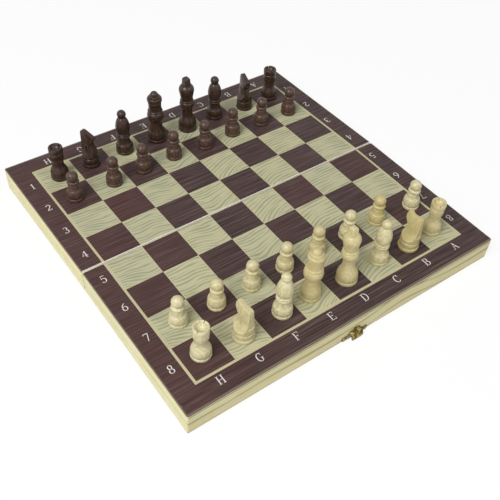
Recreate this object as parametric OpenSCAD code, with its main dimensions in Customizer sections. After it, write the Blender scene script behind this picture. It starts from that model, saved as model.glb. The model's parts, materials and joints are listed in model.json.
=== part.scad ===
// Folding chess box: two shallow wooden trays joined by a pair of brass hinges. Opened flat with the
// rims down, their outside is the playing board, and the 32 turned men stand on it. Folded the other
// way the trays meet rim to rim as a box for the men, held shut by a loop clasp.
// Millimetres. X runs along the fold, -Y is the near side, +Z is up. The origin is on the table,
// under the middle of the hinge line.

/* [Board] */
// Side of one playing square
square = 31.4; // [26:0.2:36]
// Width of the printed border round the squares
border = 19.4; // [16:0.2:26]
// Width of the pale line round the squares
frame_line = 2; // [1:0.25:3]
// Bare edge of the panel outside the print
print_inset = 0.8; // [0.4:0.1:2]
// Thickness of the printed film
print_t = 0.2; // [0.1:0.05:0.4]
// Thickness of the ink of the pale squares on the film
ink_t = 0.02; // [0.01:0.01:0.05]
// Thickness of each panel
panel_t = 2.4; // [2:0.1:4]

/* [Tray] */
// Height of the rails under a panel
rail_h = 18.4; // [16:0.2:30]
// Thickness of the rails
rail_t = 7; // [6:0.25:10]
// Rounding of the rails' outer long edges
rail_round = 1.2; // [0.4:0.1:2]
// Rounding of the trays' outer upright corners
corner_round = 1.5; // [0.5:0.1:3]
// Gap between the two hinge rails when the board is flat
fold_gap = 0.9; // [0.6:0.1:2]
// Gap left between the rims when the box is shut
shut_gap = 0.6; // [0.3:0.1:1]

/* [Hinges] */
// Length of each hinge
hinge_l = 24; // [16:1:36]
// Distance from the end of the board to the middle of a hinge
hinge_inset = 58; // [40:1:80]
// Radius of the hinge barrel
barrel_r = 1.9; // [1.6:0.05:2.4]
// Radius of the hinge pin
pin_r = 0.9; // [0.6:0.05:1.1]
// Radial play of the pins in their knuckles
pin_play = 0.05; // [0.02:0.01:0.1]
// Thickness of the hinge leaves
leaf_t = 0.8; // [0.5:0.05:1]
// Reach of a leaf across the rim, from the pin
leaf_reach = 6.2; // [5:0.1:7]
// Free space left round the moving barrel
barrel_play = 0.25; // [0.15:0.05:0.4]
// Radius of a hinge screw's shank
screw_r = 0.8; // [0.5:0.05:1]
// Radius of a hinge screw's countersunk head
screw_head_r = 1.5; // [1.2:0.05:1.7]
// Length of a hinge screw
screw_l = 7; // [5:0.5:10]

/* [Clasp] */
// Thickness of the clasp's plates
plate_t = 0.6; // [0.4:0.05:1]
// Width of the clasp's plates
plate_w = 25; // [24:0.5:32]
// Radius of the clasp's nail heads
nail_head_r = 1; // [0.7:0.05:1.2]
// Length of the clasp's nails
nail_l = 5; // [4:0.5:6]
// Width of the fixed bill that the loop goes over
bill_w = 11; // [9:0.5:12]
// How far the bill stands out from the rail
bill_out = 4; // [3:0.1:4.5]
// Thickness of the loop and the bill
loop_t = 0.7; // [0.5:0.05:0.9]
// Width of the loop's side and end bars
loop_bar = 2; // [1.5:0.1:2.5]
// Radius of the clasp's knuckles
clasp_barrel_r = 1.2; // [1:0.05:1.4]
// Radius of the clasp's pin
clasp_pin_r = 0.55; // [0.4:0.05:0.7]
// Height of the clasp's pin above the rim
clasp_pin_h = 3; // [2.5:0.1:4]

/* [Men] */
// Radius of the kings' feet
king_r = 8.4; // [7:0.1:9]
// Height of the kings
king_h = 54; // [48:0.5:64]
// Radius of the queens' feet
queen_r = 8.2; // [7:0.1:9]
// Height of the queens
queen_h = 50; // [44:0.1:58]
// Radius of the bishops' feet
bishop_r = 7.7; // [6.5:0.1:9]
// Height of the bishops
bishop_h = 42.5; // [38:0.5:52]
// Radius of the knights' feet
knight_r = 8.3; // [7:0.1:9]
// Height of the knights
knight_h = 35.5; // [32:0.5:46]
// How much less the dark knights' radius is
dark_slimmer = 0.6; // [0:0.1:1]
// How much less the dark knights' height is
dark_shorter = 1.3; // [0:0.1:3]
// Radius of the rooks' feet
rook_r = 7.7; // [6.5:0.1:9]
// Height of the rooks
rook_h = 31.2; // [28:0.2:40]
// Radius of the pawns' feet
pawn_r = 7; // [6:0.1:8]
// Height of the pawns
pawn_h = 27.3; // [24:0.1:34]
// Height of the foot disc under every man
foot_h = 2.8; // [2:0.1:3.6]
// Depth of the groove above the foot disc
foot_groove = 0.5; // [0.3:0.1:1]
// Compass turn of the knights' faces from +X
knight_turn = 98; // [0:1:359]

/* [Hidden] */
columns = 8;
half_rows = 4;
board_w = columns * square + 2 * border;
half_d = half_rows * square + border;
half_gap = fold_gap / 2;
rim_z = shut_gap / 2;                 // the rims' height over the pin axis, in a half's own frame
panel_z = rim_z + rail_h;
film_z = panel_z + panel_t;
top_z = film_z + print_t + ink_t;     // what the men stand on
outer_y = half_gap + half_d;
// The open board stands on its outer rims and on the hinge barrels, so each half leans a little.
pin_z = barrel_r;
lean = asin((barrel_r + rim_z) / outer_y);
hinge_x = board_w / 2 - hinge_inset;
knuckle_l = hinge_l / 3;
knuckle_gap = 0.15;
pilot_play = 0.05;
ink_gap = 0.05;
loop_play = 0.7;
clasp_pin_out = plate_t + clasp_barrel_r - 0.3;
clasp_knuckle_in = bill_w / 2 - 1.1;
clasp_knuckle_out = clasp_knuckle_in + 3.8;
loop_w = bill_w + 2 * (loop_play + loop_bar);
bill_low = 1;
bill_turn = 2;                        // height at which the bill turns straight down
bill_curve = 6.4;                     // outer radius of the bill's bend
bill_top = bill_turn + sqrt(pow(bill_curve, 2) - pow(bill_curve - bill_out + plate_t, 2));
loop_start = clasp_pin_h + shut_gap + bill_low - 0.4;
loop_end = clasp_pin_h + shut_gap + bill_top + 0.4;
loop_lean = 3.4;
round_fn = 48;
$fn = round_fn;

BRASS = "#c9a85c";
STEEL = "#5a4a30";
PINE = "#e3d9a6";
PLY = "#ddd3b4";
DARK_PRINT = "#4b3a3a";
PALE_PRINT = "#bdb890";
LIGHT_MAN = "#e0d6a4";
DARK_MAN = "#3a2018";

// Files are counted from the left and ranks from the near side, as the men stand on the board.
FILES = "hgfedcba";
RANKS = "87654321";
BACK_RANK = ["rook", "knight", "bishop", "queen", "king", "bishop", "knight", "rook"];
// How far off the middle of its square each man was put down, along X and Y, and its turn. A fourth
// value is the lean towards +Y of a man whose foot was sawn out of square.
PUT_DOWN = [
    [[-1.3, 1.1, 30], [0.4, -2.3, 0], [4.1, -0.8, 0], [-0.3, 0.8, 0],
     [1.6, -2.3, 0, 4], [3.8, -0.8, 0], [2.8, -2.7, 0], [-0.3, -0.1, 50]],
    [[0.3, 1.4, 0], [0, -0.5, 0], [0, 0.2, 0], [0.3, 0.8, 0],
     [0, 0.8, 0], [0.3, 0.8, 0], [0, 0.8, 0], [6, -1.4, 0]],
    [], [], [], [],
    [[-1.3, -1.1, 0], [2.8, -1.7, 0], [0.3, -0.2, 0], [0.3, 1.1, 0],
     [-0.3, -1.1, 0], [-0.3, 1.1, 0], [0, 0.1, 0], [0.3, -0.5, 0]],
    [[0.3, -0.8, 20], [-1.3, 0.6, 194], [0, 0.5, 0], [0.9, 0.1, 0],
     [1.3, -1.1, 0], [1.3, 1.1, 0], [1.9, -1.7, 162], [0.3, -0.8, 70]]];
// Each man as [side, kind, file, rank].
MEN = [for (rank = [0, 1, 6, 7]) for (file = [0:columns - 1])
    [rank < 4 ? "light" : "dark", rank == 0 || rank == 7 ? BACK_RANK[file] : "pawn", file, rank]];

function man_name(m) = str(m[0], "_", m[1], "_", FILES[m[2]], RANKS[m[3]]);

// ---------------------------------------------------------------- places

// Each half is drawn reaching towards +Y from the hinge pin, with its rim down, and is put in its
// place by one of these two.
module in_rear() translate([0, 0, pin_z]) rotate([-lean, 0, 0]) children();
module in_front() translate([0, 0, pin_z]) rotate([lean, 0, 0]) mirror([0, 1, 0]) children();

// At the middle of the outer rail's face and rim: X along the rail, Y away from it, Z up.
module at_clasp() translate([0, outer_y, rim_z]) children();

module at_hinges() for (side = [-1, 1]) translate([side * hinge_x, 0, 0]) children();

// ---------------------------------------------------------------- trays

// Plan of one half: sharp at the fold, rounded at the two outer corners.
module half_plan(inset = 0) {
    r = corner_round;
    w = board_w / 2 - inset;
    far = outer_y - inset;
    translate([-w, half_gap]) square([2 * w, far - half_gap - r]);
    translate([r - w, half_gap]) square([2 * (w - r), far - half_gap]);
    for (side = [-1, 1]) translate([side * (w - r), far - r]) circle(r);
}

// Section of a rail lying along X, with its outer long edges rounded: Y outwards from its inner face.
module rail_section(edge = rail_round) {
    square([rail_t - edge, rail_h]);
    translate([0, edge]) square([rail_t, rail_h - 2 * edge]);
    for (z = [edge, rail_h - edge]) translate([rail_t - edge, z]) circle(edge);
}

// A mitred rail along X whose outer face is at Y = 0, its middle at X = 0 and its rim at Z = 0.
module mitred_rail(length, edge = rail_round) {
    intersection() {
        translate([-length / 2, -rail_t, 0]) rotate([90, 0, 90])
            linear_extrude(length) rail_section(edge);
        linear_extrude(rail_h)
            polygon([[-length / 2, 0], [length / 2, 0], [length / 2 - rail_t, -rail_t],
                     [rail_t - length / 2, -rail_t]]);
    }
}

module outer_rail(nail_x, nail_z) {
    difference() {
        intersection() {
            translate([0, outer_y, rim_z]) mitred_rail(board_w);
            translate([0, 0, rim_z]) linear_extrude(rail_h) half_plan();
        }
        at_clasp() for (side = [-1, 1]) translate([side * nail_x, 0, nail_z])
            rotate([90, 0, 0]) cylinder(r = nail_head_r / 2 + pilot_play, h = nail_l);
    }
}

module side_rail(side) {
    intersection() {
        translate([side * board_w / 2, half_gap + half_d / 2, rim_z]) rotate([0, 0, -90 * side])
            mitred_rail(half_d);
        translate([0, 0, rim_z]) linear_extrude(rail_h) half_plan();
    }
}

// The hinge rail, with a seat for each leaf, a hollow for each barrel and the screw holes.
module hinge_rail() {
    sharp = 0.01;
    difference() {
        translate([0, half_gap, rim_z]) mirror([0, 1, 0]) mitred_rail(board_w, sharp);
        at_hinges() {
            translate([-hinge_l / 2 - barrel_play, 0, rim_z - 1])
                cube([hinge_l + 2 * barrel_play, leaf_reach + barrel_play, leaf_t + pilot_play + 1]);
            translate([-hinge_l / 2 - barrel_play, 0, 0]) rotate([0, 90, 0])
                cylinder(r = barrel_r + barrel_play, h = hinge_l + 2 * barrel_play);
            at_screws() cylinder(r = screw_r + pilot_play, h = screw_l + 1);
        }
    }
}

module panel() translate([0, 0, panel_z]) linear_extrude(panel_t) half_plan(0.2);

// The printed film: a dark sheet with the pale squares and the pale frame line printed on it.
// The far half's pale squares stand where the near half's dark ones do.
module board_print(first_pale) {
    reach = columns / 2 * square;
    color(DARK_PRINT) translate([0, 0, film_z]) linear_extrude(print_t)
        translate([print_inset - board_w / 2, half_gap + 0.1])
            square([board_w - 2 * print_inset, half_d - print_inset - 0.1]);
    color(PALE_PRINT) translate([0, 0, film_z + print_t]) linear_extrude(ink_t) {
        for (i = [0:columns - 1]) for (j = [0:half_rows - 1]) if ((i + j) % 2 == first_pale)
            translate([i * square - reach + ink_gap, half_gap + 0.2 + j * square + ink_gap])
                square([square - 2 * ink_gap, square - 2 * ink_gap - (j == 0 ? 0.2 : 0)]);
        difference() {
            translate([-reach - frame_line, half_gap + 0.2])
                square([2 * (reach + frame_line), half_rows * square + frame_line]);
            translate([-reach - ink_gap, 0])
                square([2 * (reach + ink_gap), half_gap + 0.2 + half_rows * square + ink_gap]);
        }
    }
}

// ---------------------------------------------------------------- hinges

module at_screws() for (side = [-1, 1])
    translate([side * hinge_l / 3, (barrel_r + leaf_reach) / 2 + 0.2, rim_z]) children();

module barrel(from, to, r) translate([from, 0, 0]) rotate([0, 90, 0]) cylinder(r = r, h = to - from);

// One hinge leaf, let into the rim, with its knuckles rolled round the pin. spans lists where its
// knuckles lie along the pin.
module leaf(spans) {
    clear_y = barrel_r + barrel_play;
    difference() {
        union() {
            translate([-hinge_l / 2, clear_y, rim_z]) cube([hinge_l, leaf_reach - clear_y, leaf_t]);
            for (s = spans) {
                barrel(s[0], s[1], barrel_r);
                translate([s[0], 0, rim_z]) cube([s[1] - s[0], clear_y + 0.1, leaf_t]);
            }
        }
        barrel(-hinge_l, hinge_l, pin_r + pin_play);
        at_screws() {
            cylinder(r = screw_r + pilot_play, h = 4 * leaf_t, center = true);
            translate([0, 0, -0.01]) cylinder(r1 = screw_head_r + pilot_play, r2 = screw_r + pilot_play,
                                              h = screw_sink() + 0.01);
        }
    }
}

function screw_sink() = min(screw_head_r - screw_r, leaf_t - 0.1);
function outer_spans() = [for (side = [-1, 1])
    side < 0 ? [-hinge_l / 2, -knuckle_l / 2 - knuckle_gap] : [knuckle_l / 2 + knuckle_gap, hinge_l / 2]];
function middle_span() = [[-knuckle_l / 2, knuckle_l / 2]];

module hinge_pin() barrel(-hinge_l / 2, hinge_l / 2, pin_r);

// Countersunk screws, flush with the leaves, each with a slot across its head.
module hinge_screws() at_hinges() at_screws() difference() {
    union() {
        cylinder(r1 = screw_head_r, r2 = screw_r, h = screw_sink());
        cylinder(r = screw_r, h = screw_l - screw_r);
        translate([0, 0, screw_l - screw_r]) cylinder(r1 = screw_r, r2 = screw_r / 4, h = screw_r);
    }
    translate([-screw_head_r, -0.2, -0.1]) cube([2 * screw_head_r, 0.4, 0.35]);
}

// ---------------------------------------------------------------- clasp

catch_nail_x = plate_w / 2 - 3.5;
catch_nail_h = 2.8;
clasp_nail_x = plate_w / 2 - 2.3;
clasp_plate_low = clasp_pin_h + 1.2;
clasp_plate_high = clasp_plate_low + 6.6;
clasp_nail_h = (clasp_plate_low + clasp_plate_high) / 2;

// A flat plate with round ends, standing on the rail's face.
module round_ended(w, low, high) {
    r = (high - low) / 2;
    rotate([90, 0, 0]) mirror([0, 0, 1]) linear_extrude(plate_t) {
        translate([r - w / 2, low]) square([w - 2 * r, 2 * r]);
        for (side = [-1, 1]) translate([side * (w / 2 - r), low + r]) circle(r);
    }
}

module nail_holes(x, h) for (side = [-1, 1]) translate([side * x, 0, h]) rotate([90, 0, 0])
    cylinder(r = nail_head_r / 2 + pilot_play, h = 4 * plate_t, center = true);

module nails(x, h) {
    head_h = 0.4;
    for (side = [-1, 1]) translate([side * x, plate_t, h]) rotate([90, 0, 0]) {
        translate([0, 0, -head_h]) cylinder(r1 = nail_head_r * 0.6, r2 = nail_head_r, h = head_h);
        cylinder(r = nail_head_r / 2, h = nail_l - 0.5);
    }
}

// The fixed part: an arched plate with a bill bent out of it, over which the loop drops.
module catch_plate_form() {
    arch_r = bill_w / 2 + 1.1;
    difference() {
        union() {
            round_ended(plate_w, 0.6, 5);
            intersection() {
                translate([0, 0, 4]) rotate([90, 0, 0]) mirror([0, 0, 1]) cylinder(r = arch_r, h = plate_t);
                translate([-arch_r, 0, 2]) cube([2 * arch_r, plate_t, arch_r + 4]);
            }
            bill();
        }
        nail_holes(catch_nail_x, catch_nail_h);
    }
}

// Curved sheet from the plate's upper middle, out and down to a straight lip with rounded corners.
module bill() {
    tip_r = 2;
    centre_out = bill_out - bill_curve;
    intersection() {
        translate([-bill_w / 2, 0, 0]) rotate([90, 0, 90]) linear_extrude(bill_w) {
            intersection() {
                translate([centre_out, bill_turn]) difference() {
                    circle(bill_curve);
                    circle(bill_curve - loop_t);
                }
                translate([plate_t / 2, bill_turn]) square([bill_out, bill_curve]);
            }
            translate([bill_out - loop_t, bill_low]) square([loop_t, bill_turn - bill_low]);
        }
        rotate([90, 0, 0]) mirror([0, 0, 1]) linear_extrude(bill_out + 1) {
            translate([-bill_w / 2, bill_low + tip_r]) square([bill_w, bill_curve + bill_turn]);
            translate([tip_r - bill_w / 2, bill_low]) square([bill_w - 2 * tip_r, tip_r]);
            for (side = [-1, 1]) translate([side * (bill_w / 2 - tip_r), bill_low + tip_r]) circle(tip_r);
        }
    }
}

module at_clasp_pin() translate([0, clasp_pin_out, clasp_pin_h]) children();

// The hinged part's plate: two knuckles below it carry the pin.
module clasp_plate_form() {
    difference() {
        union() {
            round_ended(plate_w, clasp_plate_low, clasp_plate_high);
            for (side = [-1, 1]) {
                from = side > 0 ? clasp_knuckle_in : -clasp_knuckle_out;
                to = side > 0 ? clasp_knuckle_out : -clasp_knuckle_in;
                at_clasp_pin() barrel(from, to, clasp_barrel_r);
                translate([from, 0, clasp_pin_h]) cube([to - from, plate_t, 3]);
            }
        }
        at_clasp_pin() barrel(-plate_w, plate_w, clasp_pin_r + pin_play);
        nail_holes(clasp_nail_x, clasp_nail_h);
    }
}

// The loop, drawn hanging along -Z from its pin with its mean plane through the pin.
module loop_form() {
    knuckle = clasp_knuckle_in - knuckle_gap;
    shoulder = clasp_barrel_r + 0.4;
    length = loop_end + loop_bar;
    tip_r = 2.5;
    difference() {
        union() {
            barrel(-knuckle, knuckle, clasp_barrel_r);
            rotate([90, 0, 0]) translate([0, 0, -loop_t / 2]) linear_extrude(loop_t) {
                translate([-knuckle, -shoulder - 1]) square([2 * knuckle, shoulder + 1]);
                translate([-loop_w / 2, tip_r - length])
                    square([loop_w, length - tip_r - shoulder]);
                translate([tip_r - loop_w / 2, -length]) square([loop_w - 2 * tip_r, tip_r]);
                for (side = [-1, 1]) translate([side * (loop_w / 2 - tip_r), tip_r - length]) circle(tip_r);
            }
        }
        barrel(-plate_w, plate_w, clasp_pin_r + pin_play);
        translate([loop_bar - loop_w / 2, -loop_t, -loop_end])
            cube([loop_w - 2 * loop_bar, 2 * loop_t, loop_end - loop_start]);
    }
}

// ---------------------------------------------------------------- men

function bend(from, pull, to, steps = 4) =
    [for (i = [1:steps]) let (t = i / steps) (1 - t) * (1 - t) * from + 2 * t * (1 - t) * pull + t * t * to];
function ring(r, low, high, steps = 4) = let (b = (high - low) / 2)
    [for (i = [0:steps]) let (a = -90 + 180 * i / steps) [r - b + b * cos(a), low + b + b * sin(a)]];
function swell(r, depth, low, high, steps = 4) = let (mid = (low + high) / 2)
    [for (i = [0:steps]) let (a = -90 + 180 * i / steps)
        [r - depth + depth * cos(a), mid + (high - low) / 2 * sin(a)]];
function ball(r, top, low, steps = 7) = let (from = asin((low - top + r) / r))
    [for (i = [0:steps]) let (a = from + (90 - from) * i / steps) [r * cos(a), top - r + r * sin(a)]];
// The foot disc and the groove over it, common to all the men.
function foot(r) = [[0, 0], [r - 0.7, 0], [r - 0.2, 0.25], [r, 0.8], [r, foot_h - 0.5],
                    [r - 0.15, foot_h - 0.15], [r - 0.5, foot_h], [r - foot_groove, foot_h + 0.2],
                    [r - foot_groove, foot_h + 0.6]];
// The bell from the foot up to the neck, with a fine step on its shoulder.
function bell(r, waist_r, shoulder, neck_r, neck, step = 0) = let (low = [r - 0.3, foot_h + 0.9])
    concat([low], bend(low, [r + 0.3, shoulder * 0.72], [waist_r, shoulder]),
           step > 0 ? [[waist_r - step, shoulder + 0.3]] : [],
           bend([waist_r - step, shoulder + 0.3], [neck_r + 0.25, shoulder + (neck - shoulder) * 0.4],
                [neck_r, neck]));

module turned(outline) rotate_extrude() polygon(outline);

module pawn() turned(concat(foot(pawn_r),
    bell(pawn_r, pawn_r * 0.84, pawn_h * 0.37, pawn_r * 0.62, pawn_h * 0.54, 0.4),
    ring(pawn_r * 0.73, pawn_h * 0.58, pawn_h * 0.7),
    ball(pawn_r * 0.68, pawn_h, pawn_h * 0.71)));

// A cupped crown with a fine saw slot across it.
module rook() {
    crown_r = rook_r * 0.77;
    cup_r = crown_r - 1.7;
    slot_w = 0.7;
    slot_d = 1.8;
    difference() {
        turned(concat(foot(rook_r),
            bell(rook_r, rook_r * 0.8, rook_h * 0.33, rook_r * 0.6, rook_h * 0.475),
            bend([rook_r * 0.6, rook_h * 0.475], [rook_r * 0.62, rook_h * 0.58], [crown_r - 0.3, rook_h * 0.65]),
            [[crown_r - 0.3, rook_h - 5.6], [crown_r - 0.7, rook_h - 5.2], [crown_r, rook_h - 4.6],
             [crown_r, rook_h - 0.8], [crown_r - 0.25, rook_h - 0.2], [crown_r - 0.7, rook_h],
             [cup_r, rook_h - 0.5]],
            bend([cup_r, rook_h - 0.5], [cup_r * 0.8, rook_h - 3.2], [0, rook_h - 4], 3)));
        translate([-rook_r, -slot_w / 2, rook_h - slot_d]) cube([2 * rook_r, slot_w, slot_d + 1]);
    }
}

module bishop() {
    neck = bishop_h * 0.36;
    turned(concat(foot(bishop_r),
        bell(bishop_r, bishop_r * 0.87, bishop_h * 0.22, bishop_r * 0.6, neck, 0.5),
        ring(bishop_r * 0.78, neck + 0.9, neck + 3), ring(bishop_r * 0.77, neck + 3.4, neck + 5),
        [[bishop_r * 0.69, neck + 5.6]],
        bend([bishop_r * 0.69, neck + 5.6], [bishop_r * 0.9, bishop_h * 0.6], [bishop_r * 0.75, bishop_h * 0.7]),
        bend([bishop_r * 0.75, bishop_h * 0.7], [bishop_r * 0.65, bishop_h * 0.79],
             [bishop_r * 0.39, bishop_h * 0.84]),
        ball(bishop_r * 0.5, bishop_h, bishop_h * 0.855)));
}

// A cushion of a collar low down, a coronet near the top and a ball on it.
module queen() {
    collar = queen_h * 0.43;
    collar_h = queen_h * 0.17;
    body = collar + collar_h + 2.4;
    coronet = queen_h * 0.8;
    turned(concat(foot(queen_r),
        bell(queen_r, queen_r * 0.8, queen_h * 0.23, queen_r * 0.63, queen_h * 0.39),
        swell(queen_r * 0.9, 1.8, collar, collar + collar_h, 6),
        ring(queen_r * 0.81, collar + collar_h + 0.1, collar + collar_h + 1.7),
        [[queen_r * 0.7, body]],
        bend([queen_r * 0.7, body], [queen_r * 0.66, (body + coronet) / 2 + 1],
             [queen_r * 0.72, coronet - 0.6], 3),
        swell(queen_r * 0.8, 1.1, coronet, coronet + 4.4, 5),
        ring(queen_r * 0.62, coronet + 4.5, coronet + 5.7),
        ball(queen_r * 0.43, queen_h, coronet + 6)));
}

// The king carries a square finial, tapered and with its top edges taken off.
module king() {
    collar = king_h * 0.45;
    collar_h = king_h * 0.105;
    body = collar + collar_h + 2.4;
    shoulder = king_h * 0.855;
    finial_w = king_r * 0.73;
    finial_h = king_h - shoulder + 1;
    taper = 0.35;
    chamfer = 1.6;
    half = finial_w / 2;
    turned(concat(foot(king_r),
        bell(king_r, king_r * 0.82, king_h * 0.21, king_r * 0.55, king_h * 0.35),
        bend([king_r * 0.55, king_h * 0.35], [king_r * 0.56, collar - 1.6], [king_r * 0.64, collar - 0.2], 3),
        swell(king_r * 0.79, 1.2, collar, collar + collar_h, 6),
        ring(king_r * 0.72, collar + collar_h + 0.1, collar + collar_h + 1.7),
        [[king_r * 0.63, body]],
        bend([king_r * 0.63, body], [king_r * 0.69, king_h * 0.67], [king_r * 0.8, king_h * 0.745]),
        bend([king_r * 0.8, king_h * 0.745], [king_r * 0.87, king_h * 0.82], [king_r * 0.52, shoulder]),
        [[0, shoulder + 0.3]]));
    translate([0, 0, king_h - finial_h]) intersection_for(turn = [0, 90]) rotate([90, 0, turn])
        linear_extrude(2 * finial_w, center = true)
            polygon([[-half, 0], [half, 0], [half - taper, finial_h - chamfer],
                     [half - taper - chamfer, finial_h], [taper + chamfer - half, finial_h],
                     [taper - half, finial_h - chamfer]]);
}

// The knight is a turned blank sawn to a horse's head that faces +X: one cut gives the side view, two
// cuts that sweep outwards at their feet the cheeks, and two short cuts on each cheek the mane. The
// light knights' faces are held up; the dark knights' slope down from the ears.
module knight(r, h, held_up) {
    collar_top = foot_h + 5.8;
    neck_r = r * 0.9;
    poll_r = r * 0.91;
    tip_r = r * 0.7;
    muzzle = h * 0.84;           // where the muzzle stands out most
    cheek_low = h * 0.3;         // where the cheeks run out on the blank
    cheek_mid = h * 0.58;        // where they begin to sweep out
    cheek = 2.8;                        // half the thickness there
    brow = 1.6;                         // and at the ears
    throat = [r * 0.4, h * 0.63];
    chest = [neck_r, h * 0.38];
    nape = [r * 0.05, h * 0.91];
    crest = -r * (held_up ? 0.76 : 0.84);   // how far back the mane reaches
    mane_l = 5;
    mane_w = 0.9;
    mane_d = 0.8;
    mane_tilt = 9;
    mane_h = h * 0.51;
    mane_out = cheek + 0.5;
    slope = 14;
    blank = 1.3 * r;
    cheek_line = concat([[blank, -1], [blank, cheek_low - 2], [neck_r, cheek_low]],
        bend([neck_r, cheek_low], [cheek, h * 0.4], [cheek, cheek_mid], 6), [[brow, h]]);
    top_line = held_up
        ? concat([[blank, muzzle + 2], [blank, h + 1], [tip_r, h - 0.4],
                  [tip_r - 1.5, h - 0.5]],
                 bend([tip_r - 1.5, h - 0.5], [r * 0.35, h * 0.91], nape),
                 [[-r * 0.4, h * 0.93]],
                 bend([-r * 0.4, h * 0.93], [crest, h * 0.93], [crest, h * 0.86], 3))
        : concat([[blank, muzzle], [blank, h * 0.85], [poll_r, h * 0.87],
                  [-r * 0.4, h - 0.2]],
                 bend([-r * 0.4, h - 0.2], [crest, h], [crest, h * 0.92], 3));
    difference() {
        intersection() {
            turned(concat(foot(r), swell(r * 0.95, 0.9, foot_h + 0.6, collar_top, 6),
                [[neck_r, collar_top + 0.2], [neck_r, cheek_low]],
                bend([neck_r, cheek_low], [neck_r, muzzle - 6], [poll_r, muzzle], 2),
                bend([poll_r, muzzle], [poll_r, h * 0.97], [tip_r, h]), [[0, h]]));
            rotate([90, 0, 0]) linear_extrude(2 * blank, center = true)
                polygon(concat([[-blank, -1], [blank, -1], [blank, chest[1] - 5], chest, throat],
                    bend(throat, [r * 0.72, h * 0.72], [poll_r, muzzle], 3),
                    top_line,
                    [[-r * 0.76, cheek_mid], [-r * 0.8, cheek_low + 4], [-blank, cheek_low]]));
            rotate([90, 0, 90]) linear_extrude(2 * blank, center = true)
                polygon(concat(cheek_line, [for (i = [len(cheek_line) - 1:-1:0])
                    [-cheek_line[i][0], cheek_line[i][1]]]));
        }
        for (side = [-1, 1]) for (along = [0, 0.36])
            translate([along * r, side * mane_out, mane_h])
                rotate([side * slope, -mane_tilt, 0]) cube([mane_w, 2 * mane_d, mane_l], center = true);
    }
}

module standing(side, kind) {
    if (kind == "pawn") pawn();
    if (kind == "rook") rook();
    if (kind == "knight") rotate([0, 0, knight_turn]) {
        if (side == "light") knight(knight_r, knight_h, true);
        else knight(knight_r - dark_slimmer, knight_h - dark_shorter, false);
    }
    if (kind == "bishop") bishop();
    if (kind == "queen") queen();
    if (kind == "king") king();
}

// A man whose foot was sawn out of square: it stands flat and leans.
module leaning(side, kind, tilt) {
    sawn = king_r * sin(tilt);
    intersection() {
        translate([0, 0, -sawn]) rotate([-tilt, 0, 0]) standing(side, kind);
        translate([-square / 2, -square / 2, 0]) cube([square, square, 2 * king_h]);
    }
}

module man(m) {
    kind = m[1];
    rear = m[3] >= half_rows;
    put = PUT_DOWN[m[3]][m[2]];
    x = (m[2] - columns / 2 + 0.5) * square + put[0];
    y = (rear ? 1 : -1) * half_gap + (m[3] - half_rows + 0.5) * square + put[1];
    color(m[0] == "light" ? LIGHT_MAN : DARK_MAN)
        translate([0, 0, pin_z]) rotate([rear ? -lean : lean, 0, 0]) translate([x, y, top_z]) {
            if (len(put) > 3) leaning(m[0], kind, put[3]);
            else rotate([0, 0, put[2]]) standing(m[0], kind);
        }
}

// ---------------------------------------------------------------- nodes

module front_panel() color(PLY) in_front() panel();
module front_board_print() in_front() board_print(0);
module front_outer_rail() color(PINE) in_front() outer_rail(catch_nail_x, catch_nail_h);
module front_left_rail() color(PINE) in_front() side_rail(-1);
module front_right_rail() color(PINE) in_front() side_rail(1);
module front_hinge_rail() color(PINE) in_front() hinge_rail();
module rear_panel() color(PLY) in_rear() panel();
module rear_board_print() in_rear() board_print(1);
module rear_outer_rail() color(PINE) in_rear() outer_rail(clasp_nail_x, clasp_nail_h);
module rear_left_rail() color(PINE) in_rear() side_rail(-1);
module rear_right_rail() color(PINE) in_rear() side_rail(1);
module rear_hinge_rail() color(PINE) in_rear() hinge_rail();

module hinge_front_leaf(side) color(BRASS) in_front() translate([side * hinge_x, 0, 0]) leaf(outer_spans());
module hinge_rear_leaf(side) color(BRASS) in_rear() translate([side * hinge_x, 0, 0]) leaf(middle_span());
module one_hinge_pin(side) color(BRASS) in_front() translate([side * hinge_x, 0, 0]) hinge_pin();
module hinge_screws_front() color(BRASS) in_front() hinge_screws();
module hinge_screws_rear() color(BRASS) in_rear() hinge_screws();

module catch_plate() color(BRASS) in_front() at_clasp() catch_plate_form();
module catch_nails() color(STEEL) in_front() at_clasp() nails(catch_nail_x, catch_nail_h);
module clasp_plate() color(BRASS) in_rear() at_clasp() clasp_plate_form();
module clasp_nails() color(STEEL) in_rear() at_clasp() nails(clasp_nail_x, clasp_nail_h);
module clasp_pin() color(BRASS) in_rear() at_clasp() at_clasp_pin()
    barrel(-clasp_knuckle_out, clasp_knuckle_out, clasp_pin_r);
// The loop is laid back up against the rail, just past upright.
module clasp_loop() color(BRASS) in_rear() at_clasp() at_clasp_pin()
    rotate([180 + loop_lean, 0, 0]) loop_form();

front_panel();
front_board_print();
front_outer_rail();
front_left_rail();
front_right_rail();
front_hinge_rail();
rear_panel();
rear_board_print();
rear_outer_rail();
rear_left_rail();
rear_right_rail();
rear_hinge_rail();
hinge_front_leaf(-1);  // left_hinge_front_leaf
hinge_rear_leaf(-1);  // left_hinge_rear_leaf
one_hinge_pin(-1);  // left_hinge_pin
hinge_front_leaf(1);  // right_hinge_front_leaf
hinge_rear_leaf(1);  // right_hinge_rear_leaf
one_hinge_pin(1);  // right_hinge_pin
hinge_screws_front();
hinge_screws_rear();
catch_plate();
catch_nails();
clasp_plate();
clasp_loop();
clasp_pin();
clasp_nails();
for (m = MEN) man(m);
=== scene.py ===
"""The looks of a folding chess box, opened flat, with its 32 turned men standing on the printed board.

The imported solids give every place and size. Sizes below are in millimetres and colours are as a
screen shows them, unless a name says otherwise. X runs along the fold, -Y is the near side, +Z is up.
"""

from __future__ import annotations

import json
import logging
import math
from dataclasses import dataclass, field
from enum import Enum
from typing import Iterable, Sequence, Union

import bpy
from mathutils import Matrix, Vector

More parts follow.
